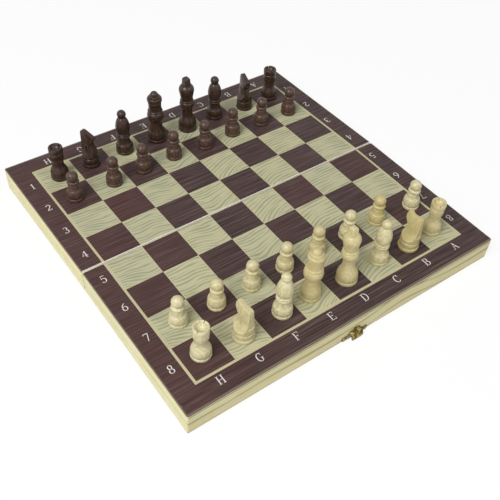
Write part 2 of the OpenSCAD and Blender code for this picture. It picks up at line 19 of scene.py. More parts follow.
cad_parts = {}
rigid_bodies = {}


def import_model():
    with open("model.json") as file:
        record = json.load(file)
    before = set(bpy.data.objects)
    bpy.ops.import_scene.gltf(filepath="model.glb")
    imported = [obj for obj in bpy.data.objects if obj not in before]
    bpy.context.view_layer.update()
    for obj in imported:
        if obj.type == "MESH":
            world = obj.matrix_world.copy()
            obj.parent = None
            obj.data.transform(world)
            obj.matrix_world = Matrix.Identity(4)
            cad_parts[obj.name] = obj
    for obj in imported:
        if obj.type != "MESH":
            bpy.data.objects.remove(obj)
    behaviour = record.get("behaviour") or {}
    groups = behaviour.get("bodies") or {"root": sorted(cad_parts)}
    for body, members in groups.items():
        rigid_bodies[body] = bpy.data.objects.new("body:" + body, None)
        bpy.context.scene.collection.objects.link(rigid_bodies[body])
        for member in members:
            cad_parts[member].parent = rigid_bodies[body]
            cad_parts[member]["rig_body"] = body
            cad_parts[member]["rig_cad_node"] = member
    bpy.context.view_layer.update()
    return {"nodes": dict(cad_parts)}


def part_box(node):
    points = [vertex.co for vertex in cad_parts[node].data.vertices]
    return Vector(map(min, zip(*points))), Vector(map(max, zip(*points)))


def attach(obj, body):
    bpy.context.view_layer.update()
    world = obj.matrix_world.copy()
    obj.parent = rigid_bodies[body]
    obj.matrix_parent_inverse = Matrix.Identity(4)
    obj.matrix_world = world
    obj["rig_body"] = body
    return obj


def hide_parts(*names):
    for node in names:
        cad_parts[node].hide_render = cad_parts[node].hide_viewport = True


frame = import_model()
MM = 0.001
WHITE = (1, 1, 1, 1)

# The board's own sizes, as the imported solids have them. FOLD_GAP is how far the first squares lie from the
# middle of the fold, FILM_REACH is how far the film goes from the middle, and LEAN is in degrees.
FILES = 8
SQUARE = 31.4
FOLD_GAP = 0.45
FILM_REACH = 144.2
PIN_HEIGHT = 1.9
LEAN = 0.8667

log = logging.getLogger("chess_box")

Rgb = tuple[float, float, float]
Rgba = tuple[float, float, float, float]
Point = tuple[float, float]
Place = tuple[float, float, float]
Profile = list[Point]
Stroke = tuple[Profile, Union[float, None]]
Term = Union["Flow", float, int]


def shown(red: float, green: float, blue: float) -> Rgba:
    """Turns a colour as a screen shows it, 0 to 255, into the light it stands for.

    Args:
        red: red share.
        green: green share.
        blue: blue share.

    Returns:
        The linear colour with an alpha of 1.
    """
    linear = []
    for share in (red, green, blue):
        part = share / 255
        linear.append(part / 12.92 if part <= 0.04045 else ((part + 0.055) / 1.055) ** 2.4)
    return (linear[0], linear[1], linear[2], 1.0)


# ---------------------------------------------------------------- materials


class Flow:
    """A number, colour or vector that flows through a material. Arithmetic adds Math nodes."""

    def __init__(self, sheet: "NodeSheet", socket: bpy.types.NodeSocket) -> None:
        """Wraps one output socket of a node of the sheet."""
        self.sheet = sheet
        self.socket = socket

    def math(self, operation: str, *terms: Term) -> "Flow":
        """Adds one Math node.

        Args:
            operation: the Math node's operation.
            terms: its inputs, in order.

        Returns:
            The node's result.
        """
        return self.sheet.flow("ShaderNodeMath", {"operation": operation}, dict(enumerate(terms)))

    def __add__(self, other: Term) -> "Flow":
        """self + other."""
        return self.math("ADD", self, other)

    __radd__ = __add__

    def __sub__(self, other: Term) -> "Flow":
        """self - other."""
        return self.math("SUBTRACT", self, other)

    def __rsub__(self, other: Term) -> "Flow":
        """other - self."""
        return self.math("SUBTRACT", other, self)

    def __mul__(self, other: Term) -> "Flow":
        """self * other."""
        return self.math("MULTIPLY", self, other)

    __rmul__ = __mul__

    def __truediv__(self, other: Term) -> "Flow":
        """self / other."""
        return self.math("DIVIDE", self, other)

    def __pow__(self, other: Term) -> "Flow":
        """self to the power of other."""
        return self.math("POWER", self, other)

    def __mod__(self, other: Term) -> "Flow":
        """The rest of self / other, never below zero."""
        return self.math("FLOORED_MODULO", self, other)

    def __abs__(self) -> "Flow":
        """The size of self."""
        return self.math("ABSOLUTE", self)

    def __gt__(self, other: Term) -> "Flow":
        """1 where self is above other, else 0."""
        return self.math("GREATER_THAN", self, other)

    def __lt__(self, other: Term) -> "Flow":
        """1 where self is below other, else 0."""
        return self.math("LESS_THAN", self, other)

    def floor(self) -> "Flow":
        """The whole number at or below self."""
        return self.math("FLOOR", self)

    def wave(self) -> "Flow":
        """A wave from 0 to 1 and back for each whole step of self."""
        return self.math("SINE", self * math.tau) * 0.5 + 0.5

    def hump(self) -> "Flow":
        """1 where self is 0, falling away smoothly on both sides."""
        return self.math("EXPONENT", self * self * -1)

    def least(self, other: Term) -> "Flow":
        """The lesser of the two."""
        return self.math("MINIMUM", self, other)

    def most(self, other: Term) -> "Flow":
        """The greater of the two."""
        return self.math("MAXIMUM", self, other)

    def between(self, low: float, high: float) -> "Flow":
        """0 at low and under, 1 at high and over, smooth between the two."""
        return self.sheet.flow(
            "ShaderNodeMapRange",
            {"interpolation_type": "SMOOTHSTEP"},
            {"Value": self, "From Min": low, "From Max": high},
        )


class NodeSheet:
    """The node tree of one material or world, built from Python expressions."""

    def __init__(self, tree: bpy.types.NodeTree) -> None:
        """Empties the tree."""
        self.tree = tree
        tree.nodes.clear()

    def node(self, kind: str, settings: dict, values: dict) -> bpy.types.Node:
        """Adds one node.

        Args:
            kind: the node's type.
            settings: its own settings, set first. "stops" gives a ramp's stops.
            values: values or links of its sockets, by name or number.

        Returns:
            The node.
        """
        node = self.tree.nodes.new(kind)
        for name, setting in settings.items():
            if name == "stops":
                self._set_stops(node.color_ramp, setting)
            else:
                setattr(node, name, setting)
        for name, value in values.items():
            socket = node.inputs[name]
            if isinstance(value, Flow):
                self.tree.links.new(value.socket, socket)
            elif value is not None:
                socket.default_value = value
        return node

    @staticmethod
    def _set_stops(ramp: bpy.types.ColorRamp, stops: Sequence[tuple[float, Rgba]]) -> None:
        """Gives a ramp its stops.

        Args:
            ramp: the ramp, which starts with two stops.
            stops: each stop as (place, colour).
        """
        while len(ramp.elements) < len(stops):
            ramp.elements.new(0.5)
        for element, (place, colour) in zip(ramp.elements, stops):
            element.position = place
            element.color = colour

    def flow(self, kind: str, settings: dict, values: dict, output: Union[int, str] = 0) -> Flow:
        """Adds one node, as node does, and returns one of its outputs, by number or name."""
        return Flow(self, self.node(kind, settings, values).outputs[output])

    def axes(self, place: Flow) -> tuple[Flow, Flow, Flow]:
        """The X, Y and Z of a vector."""
        node = self.node("ShaderNodeSeparateXYZ", {}, {0: place})
        return Flow(self, node.outputs[0]), Flow(self, node.outputs[1]), Flow(self, node.outputs[2])

    def join(self, x: Term, y: Term, z: Term) -> Flow:
        """A vector of three numbers."""
        return self.flow("ShaderNodeCombineXYZ", {}, {0: x, 1: y, 2: z})

    def place(self) -> Flow:
        """Where a point of the surface lies on its own piece, in millimetres."""
        here = self.flow("ShaderNodeTexCoord", {}, {}, "Object")
        values = {"Vector": here, "Scale": (MM, MM, MM)}
        return self.flow("ShaderNodeMapping", {"vector_type": "TEXTURE"}, values)

    def normal(self) -> tuple[Flow, Flow, Flow]:
        """Which way the surface faces, as X, Y and Z on its own piece."""
        return self.axes(self.flow("ShaderNodeTexCoord", {}, {}, "Normal"))

    def noise(self, place: Flow, scale: float, detail: float, rough: float = 0.5) -> Flow:
        """Cloudy noise, about 0.2 to 0.8, that varies over 1 / scale."""
        values = {"Vector": place, "Scale": scale, "Detail": detail, "Roughness": rough}
        return self.flow("ShaderNodeTexNoise", {}, values)

    def blend(self, share: Term, under: object, over: object) -> Flow:
        """Lays one colour over another.

        Args:
            share: how much of the upper one shows, 0 to 1.
            under: a colour or a Flow.
            over: a colour or a Flow.

        Returns:
            The blended colour.
        """
        return self.flow("ShaderNodeMix", {"data_type": "RGBA"}, {0: share, 6: under, 7: over}, 2)

    def ramp(self, share: Flow, *stops: tuple[float, Rgba]) -> Flow:
        """A colour looked up between stops."""
        return self.flow("ShaderNodeValToRGB", {"stops": stops}, {0: share})

    def by_file(self, x: Flow, values: Sequence[float]) -> Flow:
        """A grey with its own value in the middle of each file, blended between them.

        Args:
            x: the place across the board, in millimetres from its middle.
            values: one value of 0 to 1 for each file, from the left.

        Returns:
            The grey, as a colour.
        """
        stops = [((file + 0.5) / FILES, (value, value, value, 1)) for file, value in enumerate(values)]
        return self.ramp(x / (SQUARE * FILES) + 0.5, *stops)

    def seen(self) -> Flow:
        """Tells what the camera sees from what only lights the pieces.

        Returns:
            1 for what it sees straight, mirrored or through glass, else 0.
        """
        ray = self.node("ShaderNodeLightPath", {}, {})
        straight, mirrored, through = [
            Flow(self, ray.outputs[f"Is {kind} Ray"]) for kind in ("Camera", "Glossy", "Transmission")
        ]
        return straight.most(mirrored).most(through)

    def bump(self, height: Flow, depth: float) -> Flow:
        """A normal bent by a height of 0 to 1, where 1 stands depth millimetres proud."""
        values = {"Height": height, "Distance": depth * MM, "Strength": 1.0}
        return self.flow("ShaderNodeBump", {}, values, "Normal")

    def surface(self, **values: object) -> None:
        """Closes a material with one Principled shader.

        Args:
            values: values or links of its sockets, with an underscore for each space in a name.
        """
        named = {name.replace("_", " "): value for name, value in values.items()}
        shader = self.node("ShaderNodeBsdfPrincipled", {}, named)
        self.node("ShaderNodeOutputMaterial", {}, {"Surface": Flow(self, shader.outputs[0])})


@dataclass(frozen=True)
class Finish:
    """What a surface is made of. Each kind of finish paints its own nodes."""

    name: str

    def material(self) -> bpy.types.Material:
        """Makes the finish's material, or finds it where it is made already.

        Returns:
            The material.
        """
        found = bpy.data.materials.get(self.name)
        if found is None:
            found = bpy.data.materials.new(self.name)
            found.use_nodes = True
            self.paint(NodeSheet(found.node_tree))
        return found

    def paint(self, sheet: NodeSheet) -> None:
        """Builds the finish's nodes.

        Args:
            sheet: the material's empty sheet.
        """
        raise NotImplementedError

    def put_on(self, piece: bpy.types.Object) -> None:
        """Gives a piece this finish all over."""
        piece.data.materials.clear()
        piece.data.materials.append(self.material())


@dataclass(frozen=True)
class PineFinish(Finish):
    """Bare planed pine with its grain along one axis, two darker streaks, and painted shade that darkens its
    foot near the floor.
    """

    along_x: bool = True
    pale: Rgb = (214, 207, 163)
    late_wood: Rgb = (162, 148, 96)
    rubbed: Rgb = (228, 222, 188)
    ring_spacing: float = 5.2
    streak_height: float = 11.5
    streak_reach: float = 2.6
    streak_share: float = 0.5
    foot_streak_height: float = 0.6
    foot_streak_reach: float = 2.3
    # Painted shade near the floor: full below the first height, gone above the second, at the share below.
    foot_dark: Point = (0.8, 2.6)
    foot_dark_share: float = 0.7
    arch_at: float = 50.0
    arch_rise: float = 0.0
    arch_width: float = 36.0
    seed: float = 0.0

    def paint(self, sheet: NodeSheet) -> None:
        """Paints long rings that may rise in an arch, the streaks, painted shade at the foot and fine pores.

        Args:
            sheet: the material's empty sheet.
        """
        x, y, z = sheet.axes(sheet.place())
        along, across = (x, y) if self.along_x else (y, x)
        drift = sheet.noise(sheet.join(along * 0.01, across * 0.05 + self.seed, z * 0.05), 1, 2)
        level = z - ((along - self.arch_at) / self.arch_width).hump() * self.arch_rise
        rings = ((level + across * 0.45) / self.ring_spacing + drift * 3.0).wave()
        fine = sheet.noise(sheet.join(along * 0.03, across * 1.6, z * 1.6), 1, 4, 0.6)
        far = abs(level - self.streak_height + (drift - 0.5) * 5) / self.streak_reach
        far = far.least(abs(level - self.foot_streak_height) / self.foot_streak_reach)
        patch = sheet.noise(sheet.join(along * 0.008, self.seed + 3.1, 0.0), 1, 1).between(0.36, 0.6)
        streak_and_shade = (1 - far.between(0.0, 1.0)) * (patch * 0.4 + 0.6) * self.streak_share
        # Painted shade: the wall darkens towards the floor, where shade falls at its foot.
        streak_and_shade = streak_and_shade.most((1 - z.between(*self.foot_dark)) * self.foot_dark_share)
        share = (rings ** 2 * 0.2 + streak_and_shade + (fine - 0.5) * 0.6).between(0.0, 1.0)
        worn = sheet.noise(sheet.place(), 0.05, 2).between(0.4, 0.75) * 0.25
        wood = sheet.blend(share, shown(*self.pale), shown(*self.late_wood))
        sheet.surface(
            Base_Color=sheet.blend(worn, wood, shown(*self.rubbed)),
            Roughness=0.5 + fine * 0.18,
            Normal=sheet.bump(fine * 0.6 + rings * 0.4, 0.05),
            Specular_IOR_Level=0.35,
        )


@dataclass(frozen=True)
class PanelFinish(Finish):
    """The thin pale board that carries the print: darker along the top of its outer rim, with painted shade
    low on its edges, and near white at the fold, partly bare wood and partly painted light.
    """

    pale: Rgb = (210, 202, 160)
    line: Rgb = (178, 168, 122)
    # Colour of the painted shade in the groove under the board and low on its edges.
    grime: Rgb = (88, 79, 56)
    stain: Rgb = (84, 70, 64)
    # Near white at the fold: partly bare wood, partly painted light.
    bare: Rgb = (240, 234, 216)
    slope: float = 0.0151
    ply: float = 0.8
    rim_height: float = 22.72
    rim_share: float = 0.9
    # Painted shade: the next four place and weigh the dark band in the groove under the board and the
    # lighter darkening low on its edge.
    under_height: float = 20.95
    under_share: float = 0.9
    under_fade: Point = (0.4, 0.8)
    side_share: float = 0.35
    fold_reach: float = 0.9

    def paint(self, sheet: NodeSheet) -> None:
        """Paints plies, dust, the darker rim, painted shade in the groove under the board and low on its
        edges, and the fold near white, partly painted light.

        Args:
            sheet: the material's empty sheet.
        """
        place = sheet.place()
        x, y, z = sheet.axes(place)
        level = z + abs(y) * self.slope
        plies = (level / self.ply + sheet.noise(place, 0.04, 1) * 0.6).wave()
        dust = sheet.noise(sheet.join(x * 0.08, y * 0.08, z * 1.4), 1, 3)
        share = (plies * 0.3 + (dust - 0.4) * 0.8).between(0.0, 1.0)
        wood = sheet.blend(share, shown(*self.pale), shown(*self.line))
        # Painted shade, only on faces that don't face along X: dark in the groove under the board, lighter
        # low on its edge.
        facing = 1 - abs(sheet.normal()[0]).between(0.3, 0.7)
        under = (1 - (level - self.under_height).between(*self.under_fade)) * self.under_share
        side = (1 - level.between(self.under_height, self.rim_height)) * self.side_share
        wood = sheet.blend(under.most(side) * facing, wood, shown(*self.grime))
        # Darker along the top of the outer edge, just under the film.
        rim = (level + dust * 0.2).between(self.rim_height - 0.1, self.rim_height + 0.1)
        wood = sheet.blend(rim * self.rim_share, wood, shown(*self.stain))
        # Painted light: the board's end at the fold is painted near white, as if lit down in the gap; partly
        # bare wood.
        fold = 1 - abs(y).between(self.fold_reach - 0.1, self.fold_reach)
        sheet.surface(
            Base_Color=sheet.blend(fold, wood, shown(*self.bare)),
            Roughness=0.62 + dust * 0.1,
            Normal=sheet.bump(dust, 0.04),
        )


@dataclass(frozen=True)
class Spot:
    """Where a point of the print lies, in millimetres, with the draws of its square.

    X runs across the board, Y along it and up away from the fold. The tile is three draws from 0 to 1,
    the same all over one square, and inside is 1 within the squares and 0 on the border.
    """

    x: Flow
    y: Flow
    up: Flow
    tile: tuple[Flow, Flow, Flow]
    inside: Flow

    def own_x(self) -> Flow:
        """The place across its own square, from the square's middle."""
        return (self.x % SQUARE) - SQUARE / 2

    def own_up(self) -> Flow:
        """The place up its own square, from the square's middle."""
        return (self.up % SQUARE) - SQUARE / 2


@dataclass(frozen=True)
class PrintFinish(Finish):
    """The printed film: dark straight-grained wood and pale squares of figured ash, with a frame line."""

    first_pale: int = 0
    # How far from the fold the film is near white on its top, and on its edges: partly worn film, partly
    # painted light along the fold.
    fold_worn: float = 0.3
    fold_rubbed: float = 1.5
    frame_line: float = 2.0
    line_tones: tuple[Rgb, Rgb] = ((204, 196, 160), (184, 176, 140))
    dark_tones: tuple[tuple[float, Rgb], ...] = (
        (0.34, (40, 30, 30)),
        (0.47, (66, 51, 50)),
        (0.58, (88, 72, 69)),
        (0.7, (122, 104, 98)),
    )
    red_wood: Rgb = (92, 58, 54)
    ash_tones: tuple[Rgb, Rgb] = ((196, 191, 154), (190, 187, 154))
    ash_stroke: Rgb = (148, 152, 126)
    ash_fleck: Rgb = (170, 165, 130)
    ash_edge: Rgb = (196, 190, 152)
    edge_fade: Point = (0.75, 0.35)
    stroke_spacing: float = 3.0
    slants: tuple[float, ...] = (-0.25, 0.12, -0.5, 0.45, 0.5, 0.06, 0.0, -0.16)
    # Near white of the paper at the fold, partly painted light.
    paper: Rgb = (236, 232, 218)
    rubbed: Rgb = (120, 107, 96)
    rim_worn: float = 0.22
    chip_up: float = 136.2
    chip_size: float = 1.0

    def paint(self, sheet: NodeSheet) -> None:
        """Paints both printed woods and chooses between them by place.

        Args:
            sheet: the material's empty sheet.
        """
        x, y, z = sheet.axes(sheet.place())
        up = abs(y) - FOLD_GAP
        half = SQUARE * FILES / 2
        inside = (abs(x) < half) * (up < half)
        column = (x / SQUARE).floor()
        row = (up / SQUARE).floor()
        spot = Spot(x, y, up, self._tile_draws(sheet, column, row), inside)
        pale_tile = ((column + row + self.first_pale) % 2) < 0.5
        in_line = (abs(x) < half + self.frame_line) * (up < half + self.frame_line) * (1 - inside)
        pale = sheet.blend(self._edge(spot), self._pale_wood(sheet, spot), shown(*self.ash_edge))
        fibres = sheet.noise(sheet.join(x * 0.15, y * 0.9, 2.0), 1, 2)
        line = sheet.blend(fibres, *[shown(*tone) for tone in self.line_tones])
        face = sheet.blend(inside * pale_tile, self._dark_wood(sheet, spot), pale)
        face = sheet.blend(in_line, face, line)
        face = sheet.blend(self._worn_rim(sheet, spot), face, shown(*self.rubbed))
        # The film's edges show its base, rubbed dark. Near the fold it is painted near white, partly worn
        # film and partly painted light.
        bare = (abs(sheet.normal()[2]) < 0.6).most(up < self.fold_worn)
        bare_tone = sheet.blend(up < self.fold_rubbed, shown(*self.rubbed), shown(*self.paper))
        dimple = sheet.noise(sheet.place(), 1.4, 2)
        sheet.surface(
            Base_Color=sheet.blend(bare, face, bare_tone),
            Roughness=0.42 + dimple * 0.16,
            Normal=sheet.bump(dimple, 0.012),
            Specular_IOR_Level=0.15,
        )

    def _tile_draws(self, sheet: NodeSheet, column: Flow, row: Flow) -> tuple[Flow, Flow, Flow]:
        """Three draws from 0 to 1 that are the same all over one square."""
        values = {"Vector": sheet.join(column, row, self.first_pale + 0.5)}
        return sheet.axes(sheet.flow("ShaderNodeTexWhiteNoise", {"noise_dimensions": "3D"}, values, "Color"))

    def _edge(self, spot: Spot) -> Flow:
        """1 at a square's edge and 0 inside it."""
        outer, inner = [SQUARE / 2 - fade for fade in self.edge_fade]
        return abs(spot.own_x()).most(abs(spot.own_up())).between(outer, inner)

    def _pale_wood(self, sheet: NodeSheet, spot: Spot) -> Flow:
        """Green-grey strokes on beige that slant and bend in each file's own way.

        Args:
            sheet: the material's sheet.
            spot: the place.

        Returns:
            The pale wood's colour.
        """
        x, own_x, draw = spot.x, spot.own_x(), spot.tile[2]
        own_y = spot.own_up() * (2 * self.first_pale - 1)
        shift = (x / SQUARE).floor() * 7.3
        slant = sheet.axes(sheet.by_file(x, [slant + 0.5 for slant in self.slants]))[0] - 0.5
        sweep = sheet.noise(sheet.join(x * 0.05 + shift, own_y * 0.06, 1.0), 1, 1) - 0.5
        bent = own_y - slant * own_x * (0.8 - own_y / 26) + sweep * (draw * 3 + 2)
        drift = sheet.noise(sheet.join(x * 0.016 + shift, bent * 0.1, 3.0), 1, 1)
        gate = sheet.noise(sheet.join(x * 0.045 + shift, bent * 0.3, 8.0), 1, 2)
        waves = (bent / self.stroke_spacing + drift * 1.6).wave()
        lines = (waves * 0.34 + gate).between(0.64, 0.86)
        fleck = sheet.noise(sheet.join(x * 0.25, spot.y * 2.2, 0.0), 1, 3)
        wood = sheet.blend(draw, *[shown(*tone) for tone in self.ash_tones])
        wood = sheet.blend(lines * 0.85, wood, shown(*self.ash_stroke))
        return sheet.blend(fleck.between(0.45, 0.8) * 0.25, wood, shown(*self.ash_fleck))

    def _dark_wood(self, sheet: NodeSheet, spot: Spot) -> Flow:
        """Straight fine dark grain, a little redder in some squares and towards the left.

        Args:
            sheet: the material's sheet.
            spot: the place.

        Returns:
            The dark wood's colour.
        """
        shift = spot.tile[0] * spot.inside * 60
        streaks = sheet.noise(sheet.join(spot.x * 0.016, spot.y * 0.8 + shift, 0.0), 1, 3, 0.62)
        hair = sheet.noise(sheet.join(spot.x * 0.05, spot.y * 2.2 + shift, 4.0), 1, 2)
        stops = [(level, shown(*tone)) for level, tone in self.dark_tones]
        wood = sheet.ramp(streaks * 0.66 + hair * 0.34, *stops)
        own_red = (spot.tile[1] * spot.inside).between(0.3, 1.0) * 0.2
        red = own_red + (spot.x * -0.002).between(0.0, 0.3) * 0.3
        return sheet.blend(red, wood, shown(*self.red_wood))

    def _worn_rim(self, sheet: NodeSheet, spot: Spot) -> Flow:
        """Where the film's outer edge is rubbed down, and the chip at one near corner.

        Args:
            sheet: the material's sheet.
            spot: the place.

        Returns:
            1 where it is rubbed, else 0.
        """
        to_rim = (FILM_REACH - abs(spot.x)).least(FILM_REACH - FOLD_GAP - spot.up)
        nick = sheet.noise(sheet.place(), 0.3, 2) - 0.5
        chip = abs(spot.x + FILM_REACH) + abs(spot.up - self.chip_up) * 0.5
        chipped = (chip < self.chip_size) * (1 - self.first_pale)
        return (to_rim < nick * 0.3 + self.rim_worn).most(chipped)


@dataclass(frozen=True)
class MenFinish(Finish):
    """Turned wood with its grain upright, under varnish. Each man may have a tint of its own."""

    pale: Rgb = (216, 209, 170)
    late_wood: Rgb = (172, 158, 108)
    tint: Rgb = (188, 168, 104)
    pawn_tints: tuple[float, ...] = (0.5,) * FILES
    back_tints: tuple[float, ...] = (0.5,) * FILES
    ranks_split: float = 94.6
    ring_width: float = 2.6
    ring_share: float = 0.4
    varnish: float = 0.25
    gloss: float = 0.18
    rough: float = 0.42
    mirror: float = 0.35

    def paint(self, sheet: NodeSheet) -> None:
        """Paints upright rings that differ from man to man, and pores.

        Args:
            sheet: the material's empty sheet.
        """
        x, y, z = sheet.axes(sheet.place())
        drift = sheet.noise(sheet.join(x * 0.09, y * 0.09, z * 0.06), 1, 2)
        rings = ((x * 0.8 + y * 0.6) / self.ring_width + drift * 6.0).wave()
        pores = sheet.noise(sheet.join(x * 1.7, y * 1.7, z * 0.3), 1, 3, 0.6)
        share = (rings * self.ring_share + (pores - 0.45) * 0.9).between(0.0, 1.0)
        pawns, back = [sheet.by_file(x, tints) for tints in (self.pawn_tints, self.back_tints)]
        own = sheet.axes(sheet.blend(abs(y) > self.ranks_split, pawns, back))[0]
        wood = sheet.blend(share, shown(*self.pale), shown(*self.late_wood))
        sheet.surface(
            Base_Color=sheet.blend(own * 0.8, wood, shown(*self.tint)),
            Roughness=self.rough + (pores - 0.5) * 0.2,
            Normal=sheet.bump(pores * 0.7 + rings * 0.3, 0.03),
            Specular_IOR_Level=self.mirror,
            Coat_Weight=self.varnish,
            Coat_Roughness=self.gloss,
        )


@dataclass(frozen=True)
class MetalFinish(Finish):
    """Sheet brass or nail steel, rubbed bright and dulled in patches."""

    bright: Rgb = (158, 142, 80)
    dull: Rgb = (58, 50, 26)
    rough: float = 0.26

    def paint(self, sheet: NodeSheet) -> None:
        """Paints tarnish and fine scratches.

        Args:
            sheet: the material's empty sheet.
        """
        place = sheet.place()
        x, y, z = sheet.axes(place)
        tarnish = sheet.noise(place, 0.35, 4, 0.6)
        scratch = sheet.noise(sheet.join(x * 0.6, y * 6, z * 6), 1, 2)
        sheet.surface(
            Base_Color=sheet.blend(tarnish.between(0.4, 0.62), shown(*self.bright), shown(*self.dull)),
            Metallic=1.0,
            Roughness=self.rough + tarnish * 0.22,
            Normal=sheet.bump(scratch, 0.008),
        )


@dataclass(frozen=True)
class LetteringFinish(Finish):
    """The off-white ink of the letters and figures."""

    ink: Rgb = (224, 219, 212)
    thin_ink: Rgb = (176, 166, 160)

    def paint(self, sheet: NodeSheet) -> None:
        """Paints ink that is a little thin in places.

        Args:
            sheet: the material's empty sheet.
        """
        thin = sheet.noise(sheet.place(), 0.7, 3)
        share = thin.between(0.5, 0.75) * 0.5
        sheet.surface(
            Base_Color=sheet.blend(share, shown(*self.ink), shown(*self.thin_ink)),
            Roughness=0.4 + thin * 0.15,
        )


@dataclass(frozen=True)
class FloorFinish(Finish):
    """A plain white floor that keeps a soft shadow."""

    shadow_share: float = 0.15

    def paint(self, sheet: NodeSheet) -> None:
        """Mixes a lit floor with plain white for what sees it directly or mirrored.

        Args:
            sheet: the material's empty sheet.
        """
        lit = sheet.flow("ShaderNodeBsdfDiffuse", {}, {"Color": WHITE})
        white = sheet.flow("ShaderNodeEmission", {}, {"Color": WHITE, "Strength": 1.0})
        share = sheet.seen() * (1 - self.shadow_share)
        mixed = sheet.flow("ShaderNodeMixShader", {}, {0: share, 1: lit, 2: white})
        sheet.node("ShaderNodeOutputMaterial", {}, {"Surface": mixed})


# ---------------------------------------------------------------- bench work


class Bench:
    """The hand tools that every piece is made with."""

    merge_gap = 0.002
    flat_angle = 0.4

    @staticmethod
    def take(*pieces: bpy.types.Object) -> bpy.types.Object:
        """Selects these pieces only, and makes the first one active.

        Args:
            pieces: the pieces.

        Returns:
            The first one.
        """
        if bpy.context.mode != "OBJECT":
            bpy.ops.object.mode_set(mode="OBJECT")
        bpy.ops.object.select_all(action="DESELECT")
        for piece in pieces:
            piece.select_set(True)
        bpy.context.view_layer.objects.active = pieces[0]
        return pieces[0]

    @staticmethod
    def free() -> None:
        """Selects nothing, before a new primitive is added."""
        bpy.ops.object.select_all(action="DESELECT")

    @staticmethod
    def edit(piece: bpy.types.Object) -> None:
        """Opens one piece in edit mode with everything selected."""
        Bench.take(piece)
        bpy.ops.object.mode_set(mode="EDIT")
        bpy.ops.mesh.select_all(action="SELECT")

    @staticmethod
    def close() -> None:
        """Goes back to object mode."""
        bpy.ops.object.mode_set(mode="OBJECT")

    @staticmethod
    def modify(piece: bpy.types.Object, kind: str, **settings: object) -> None:
        """Adds a modifier to a piece and applies it.

        Args:
            piece: the piece.
            kind: the modifier's type.
            settings: the modifier's settings.
        """
        Bench.take(piece)
        modifier = piece.modifiers.new(kind.lower(), kind)
        for name, setting in settings.items():
            setattr(modifier, name, setting)
        bpy.ops.object.modifier_apply(modifier=modifier.name)

    @staticmethod
    def smooth(piece: bpy.types.Object, angle: float) -> None:
        """Shades a piece smooth over edges flatter than the angle."""
        Bench.take(piece)
        bpy.ops.object.shade_smooth_by_angle(angle=math.radians(angle))

    @staticmethod
    def settle(piece: bpy.types.Object, matrix: Matrix) -> None:
        """Moves a piece's mesh to its place, with its object left at the origin.

        Args:
            piece: the piece.
            matrix: where it goes.
        """
        piece.matrix_world = Matrix.Identity(4)
        piece.data.transform(matrix)
        piece.data.update()

    @staticmethod
    def twin(piece: bpy.types.Object, name: str) -> bpy.types.Object:
        """Copies a piece with a mesh of its own.

        Args:
            piece: the piece to copy.
            name: the copy's name.

        Returns:
            The copy.
        """
        copy = piece.copy()
        copy.data = piece.data.copy()
        copy.name = copy.data.name = name
        bpy.context.scene.collection.objects.link(copy)
        return copy

    @staticmethod
    def softened(node: str, width: float, angle: float = 30, shade: float = 32) -> bpy.types.Object:
        """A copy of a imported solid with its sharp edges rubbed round.

        Args:
            node: the solid's name.
            width: how far each edge is rubbed back, in millimetres.
            angle: edges flatter than this, in degrees, stay.
            shade: edges flatter than this, in degrees, are shaded smooth.

        Returns:
            The new piece, which stands for the solid.
        """
        source = frame["nodes"][node]
        body = source["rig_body"]
        piece = Bench.twin(source, f"{node}_dressed")
        for tag in [key for key in piece.keys() if key.startswith("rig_")]:
            del piece[tag]
        piece.parent = None
        Bench.edit(piece)
        bpy.ops.mesh.remove_doubles(threshold=Bench.merge_gap * MM)
        bpy.ops.mesh.dissolve_limited(angle_limit=math.radians(Bench.flat_angle))
        Bench.close()
        if piece.data.has_custom_normals:
            bpy.ops.mesh.customdata_custom_splitnormals_clear()
        Bench.modify(
            piece,
            "BEVEL",
            width=width * MM,
            segments=2,
            limit_method="ANGLE",
            angle_limit=math.radians(angle),
            miter_outer="MITER_ARC",
        )
        Bench.smooth(piece, shade)
        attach(piece, body)
        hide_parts(node)
        return piece


def dress(piece: bpy.types.Object, finish: Finish) -> None:
    """Gives a piece its finish and logs it.

    Args:
        piece: the piece.
        finish: its finish.
    """
    finish.put_on(piece)
    log.info("%s: %s, %d faces", piece.name, finish.name, len(piece.data.polygons))


# ---------------------------------------------------------------- the box


class Half(Enum):
    """The two halves of the board: its body, and the way it reaches from the fold."""

    FRONT = ("front", -1)
    REAR = ("rear", 1)

    @property
    def word(self) -> str:
        """The word its nodes begin with."""
        return self.value[0]

    @property
    def body(self) -> str:
        """The body that carries it."""
        return f"{self.word}_half"

    @property
    def way(self) -> int:
        """-1 for the near half and 1 for the far one."""
        return self.value[1]

    def lean(self) -> Matrix:
        """Leans a level piece as the half leans."""
        return Matrix.Rotation(math.radians(-self.way * LEAN), 4, "X")

    def seat(self) -> Matrix:
        """Turns places measured from the hinge pin, level, into metres on the leaning half."""
        return Matrix.Scale(MM, 4) @ Matrix.Translation((0, 0, PIN_HEIGHT)) @ self.lean()


@dataclass
class Trays:
    """Both trays: the mitred pine rails and the panels."""

    edge: float = 0.22
    rails: dict[str, PineFinish] = field(
        default_factory=lambda: {
            "outer_rail": PineFinish(
                "pine_outer", True, pale=(205, 197, 151), streak_share=0.85, arch_rise=8.0, seed=0.4
            ),
            "hinge_rail": PineFinish("pine_hinge", True, seed=5.2, streak_height=6.0),
            "left_rail": PineFinish("pine_left", False, seed=9.1, streak_share=0.3),
            "right_rail": PineFinish("pine_right", False, seed=14.7, streak_share=0.4),
        }
    )
    panel: PanelFinish = PanelFinish("panel_board")

    def build(self) -> None:
        """Softens and dresses every rail and panel."""
        for half in Half:
            for part, finish in self.rails.items():
                dress(Bench.softened(f"{half.word}_{part}", self.edge), finish)
            dress(Bench.softened(f"{half.word}_panel", self.edge), self.panel)


